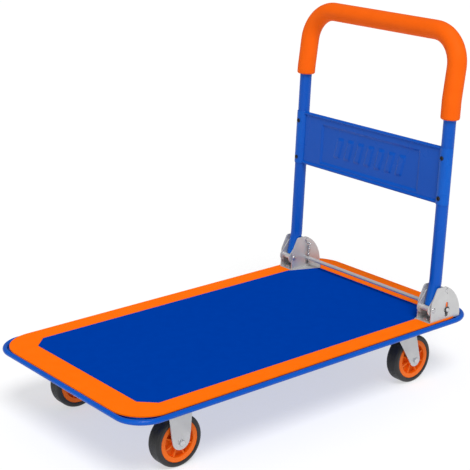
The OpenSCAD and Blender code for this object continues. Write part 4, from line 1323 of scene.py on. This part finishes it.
def tyre_mesh():
    """A flat band with round shoulders. Fine grooves run round near each shoulder."""
    half = WHEEL_W / 2
    groove, land = 0.35 * MM, 1.3 * MM
    tread = shoulder_arc(-1, 90, -1)
    h = -half + SHOULDER
    while h < half - SHOULDER - land:
        h += land
        tread += [(WHEEL_R, h - 0.35 * MM), (WHEEL_R - groove, h - 0.2 * MM),
                  (WHEEL_R - groove, h), (WHEEL_R, h + 0.15 * MM)]
    tread += shoulder_arc(1, 0, 91)
    wall = [(HUB_R + 2.2 * MM, half), (HUB_R + 1.6 * MM, half - 0.5 * MM),
            (HUB_R + 0.9 * MM, half - 0.6 * MM), (HUB_R + 0.02 * MM, half - 0.7 * MM)]
    back = [(r, -z) for r, z in reversed(wall)]
    return turned(back + tread + wall, TYRE_ROUND, axis="Y", closed=True)


# %% Wheels: hub
HUB_RIBS = 8


def hub_disc():
    """Rim, sunk web and boss as one turned section."""
    half, web = WHEEL_W / 2 - 1 * MM, 5 * MM
    rim_in = HUB_R - 9.5 * MM
    boss_r, bore = 12 * MM, 5.02 * MM
    c = 0.8 * MM
    face = [(bore, half + 1 * MM), (boss_r - c, half + 1 * MM), (boss_r, half + 1 * MM - c),
            (boss_r + 0.6 * MM, web + 1.5 * MM), (boss_r + 2 * MM, web),
            (rim_in - 2 * MM, web), (rim_in - 0.5 * MM, web + 1.5 * MM),
            (rim_in, half - c), (rim_in + c, half), (HUB_R - c, half), (HUB_R, half - c)]
    other = [(r, -z) for r, z in reversed(face)]
    return turned(face + other, HUB_ROUND, axis="Y", closed=True)


def hub_rib(i):
    """One rib on both faces of the web, thinner at its crest."""
    half, c = WHEEL_W / 2 - 3.5 * MM, 0.3 * MM
    foot, crest = 1.9 * MM, 1.3 * MM
    upper = [(-foot, 1 * MM), (-crest, half - c), (c - crest, half), (crest - c, half),
             (crest, half - c), (foot, 1 * MM)]
    section = upper + [(-z, -y) for z, y in upper]
    rings = [[(r, y, z) for z, y in section] for r in (11 * MM, HUB_R - 8.5 * MM)]
    return moved(loft(rings, "rib", caps=True),
                 Matrix.Rotation(2 * math.pi * (i + 0.5) / HUB_RIBS, 4, "Y"))


def hub_mesh():
    return joined([hub_disc()] + [hub_rib(i) for i in range(HUB_RIBS)])


def bush_mesh():
    return round_bar(5 * MM, LEG_IN - 0.4 * MM, 0.4 * MM, AXLE_R + 0.05 * MM)


for corner, x in (("front", FRONT_X), ("rear", REAR_X)):
    for side, sign in (("left", 1), ("right", -1)):
        spot = (x, sign * TRACK_Y, AXLE_Z)
        body = f"wheel_{corner}_{side}"
        piece(f"tyre_{corner}_{side}_tread", moved(tyre_mesh(), spot), body, RUBBER,
              [f"tyre_{corner}_{side}"], 40)
        piece(f"hub_{corner}_{side}_ribbed", moved(hub_mesh(), spot), body, HUB,
              [f"hub_{corner}_{side}"], 35)
        piece(f"bush_{corner}_{side}_steel", moved(bush_mesh(), spot), body, STEEL,
              [f"bush_{corner}_{side}"])
print("wheels done")

# %% [markdown]
# ## Under the deck
# The channels and ribs under the deck, the ball races and the kingpins are already the right
# shape in the frame, and they are seen only from below. They keep their frame meshes: they get
# the cart's own finishes, and a bevel modifier takes the knife edge off each fold.

# %% Under the deck
UNDERSIDE = {"cross_member_front": PAINT, "cross_member_rear": PAINT, "deck_ribs": PAINT,
             "kingpins": STEEL, "race_balls": STEEL}
for node, material in UNDERSIDE.items():
    part = frame["nodes"][node]
    part.data.materials.clear()
    part.data.materials.append(material)
    if node != "race_balls":
        weld = part.modifiers.new("close_seams", "WELD")
        weld.merge_threshold = 0.01 * MM
        ease = part.modifiers.new("soft_edges", "BEVEL")
        ease.width, ease.segments, ease.limit_method = 0.4 * MM, 2, "ANGLE"
        ease.angle_limit = math.radians(40)
print("underside:", ", ".join(UNDERSIDE))

# %% [markdown]
# ## Studio
# A pale floor, a bright even sky, one soft sun and a low fill lamp. The sun stands high in front of
# the cart, so the steps of the pressed panel show as a dark line above and a bright line below.

# %% Floor, sky and lamps
FLOOR_SIZE = 30
WHITE = (1, 1, 1, 1)


def studio_floor():
    half, z = FLOOR_SIZE / 2, low("tyre_front_left").z - 0.2 * MM
    corners = [(-half, -half), (half, -half), (half, half), (-half, half)]
    mesh = bpy.data.meshes.new("studio_floor")
    mesh.from_pydata([(x, y, z) for x, y in corners], [], [(0, 1, 2, 3)])
    obj = bpy.data.objects.new("studio_floor", mesh)
    bpy.context.scene.collection.objects.link(obj)
    pale = bpy.data.materials.new("pale_floor")
    pale.use_nodes = True
    settle(pale.node_tree.nodes["Principled BSDF"], Base_Color=(0.45, 0.45, 0.45, 1),
           Emission_Color=WHITE, Emission_Strength=0.56, Roughness=1.0, Specular_IOR_Level=0.0)
    mesh.materials.append(pale)


def sky(strength, mirrored):
    """A white sky. The camera sees it plain white, the cart is lit by a dimmer copy, and gloss
    paint mirrors one that is dimmer still, so that its colour stays deep."""
    world = bpy.data.worlds.new("sky")
    world.use_nodes = True
    nodes, links = world.node_tree.nodes, world.node_tree.links
    lit = nodes["Background"]
    dim, seen = nodes.new("ShaderNodeBackground"), nodes.new("ShaderNodeBackground")
    for light, value in ((lit, strength), (dim, mirrored), (seen, 1.0)):
        settle(light, Color=WHITE, Strength=value)
    ray = nodes.new("ShaderNodeLightPath")
    bounce, pick = nodes.new("ShaderNodeMixShader"), nodes.new("ShaderNodeMixShader")
    for mix, kind, other, special in ((bounce, "Is Glossy Ray", lit, dim),
                                      (pick, "Is Camera Ray", bounce, seen)):
        links.new(ray.outputs[kind], mix.inputs["Fac"])
        links.new(other.outputs[0], mix.inputs[1])
        links.new(special.outputs[0], mix.inputs[2])
    links.new(pick.outputs["Shader"], nodes["World Output"].inputs["Surface"])
    bpy.context.scene.world = world


def aimed(name, light, place, aim=(0, 0, 0)):
    obj = bpy.data.objects.new(name, light)
    obj.location = place
    obj.rotation_euler = (Vector(aim) - Vector(place)).to_track_quat("-Z", "Y").to_euler()
    bpy.context.scene.collection.objects.link(obj)


def sun(name, place, power, spread):
    """Light from one direction, spread over an angle in degrees so that its shadows are soft."""
    light = bpy.data.lights.new(name, "SUN")
    light.energy, light.angle = power, math.radians(spread)
    aimed(name, light, place)


def lamp(name, place, aim, size, power):
    light = bpy.data.lights.new(name, "AREA")
    light.shape = "RECTANGLE"
    light.size, light.size_y = size
    light.energy = power
    aimed(name, light, place, aim)


studio_floor()
sky(0.42, 0.25)
sun("key", (-0.6, -1.2, 2.0), 2.3, 25)
lamp("fill", (-2.4, -1.2, 1.0), (0, 0, 0.3), (1.6, 1.2), 9)
bpy.context.scene.view_settings.view_transform = "Standard"
print("studio ready")

# %% Camera
CAMERA_AT = (-1.6029, -1.9621, 1.1482)
PITCH, YAW = 17.84, -39.0
camera_data = bpy.data.cameras.new("camera")
camera_data.sensor_width = 36
camera_data.lens = 105.67
camera = bpy.data.objects.new("camera", camera_data)
camera.location = CAMERA_AT
camera.rotation_euler = (math.radians(90 - PITCH), 0, math.radians(YAW))
bpy.context.scene.collection.objects.link(camera)
bpy.context.scene.camera = camera
print("camera", CAMERA_AT)
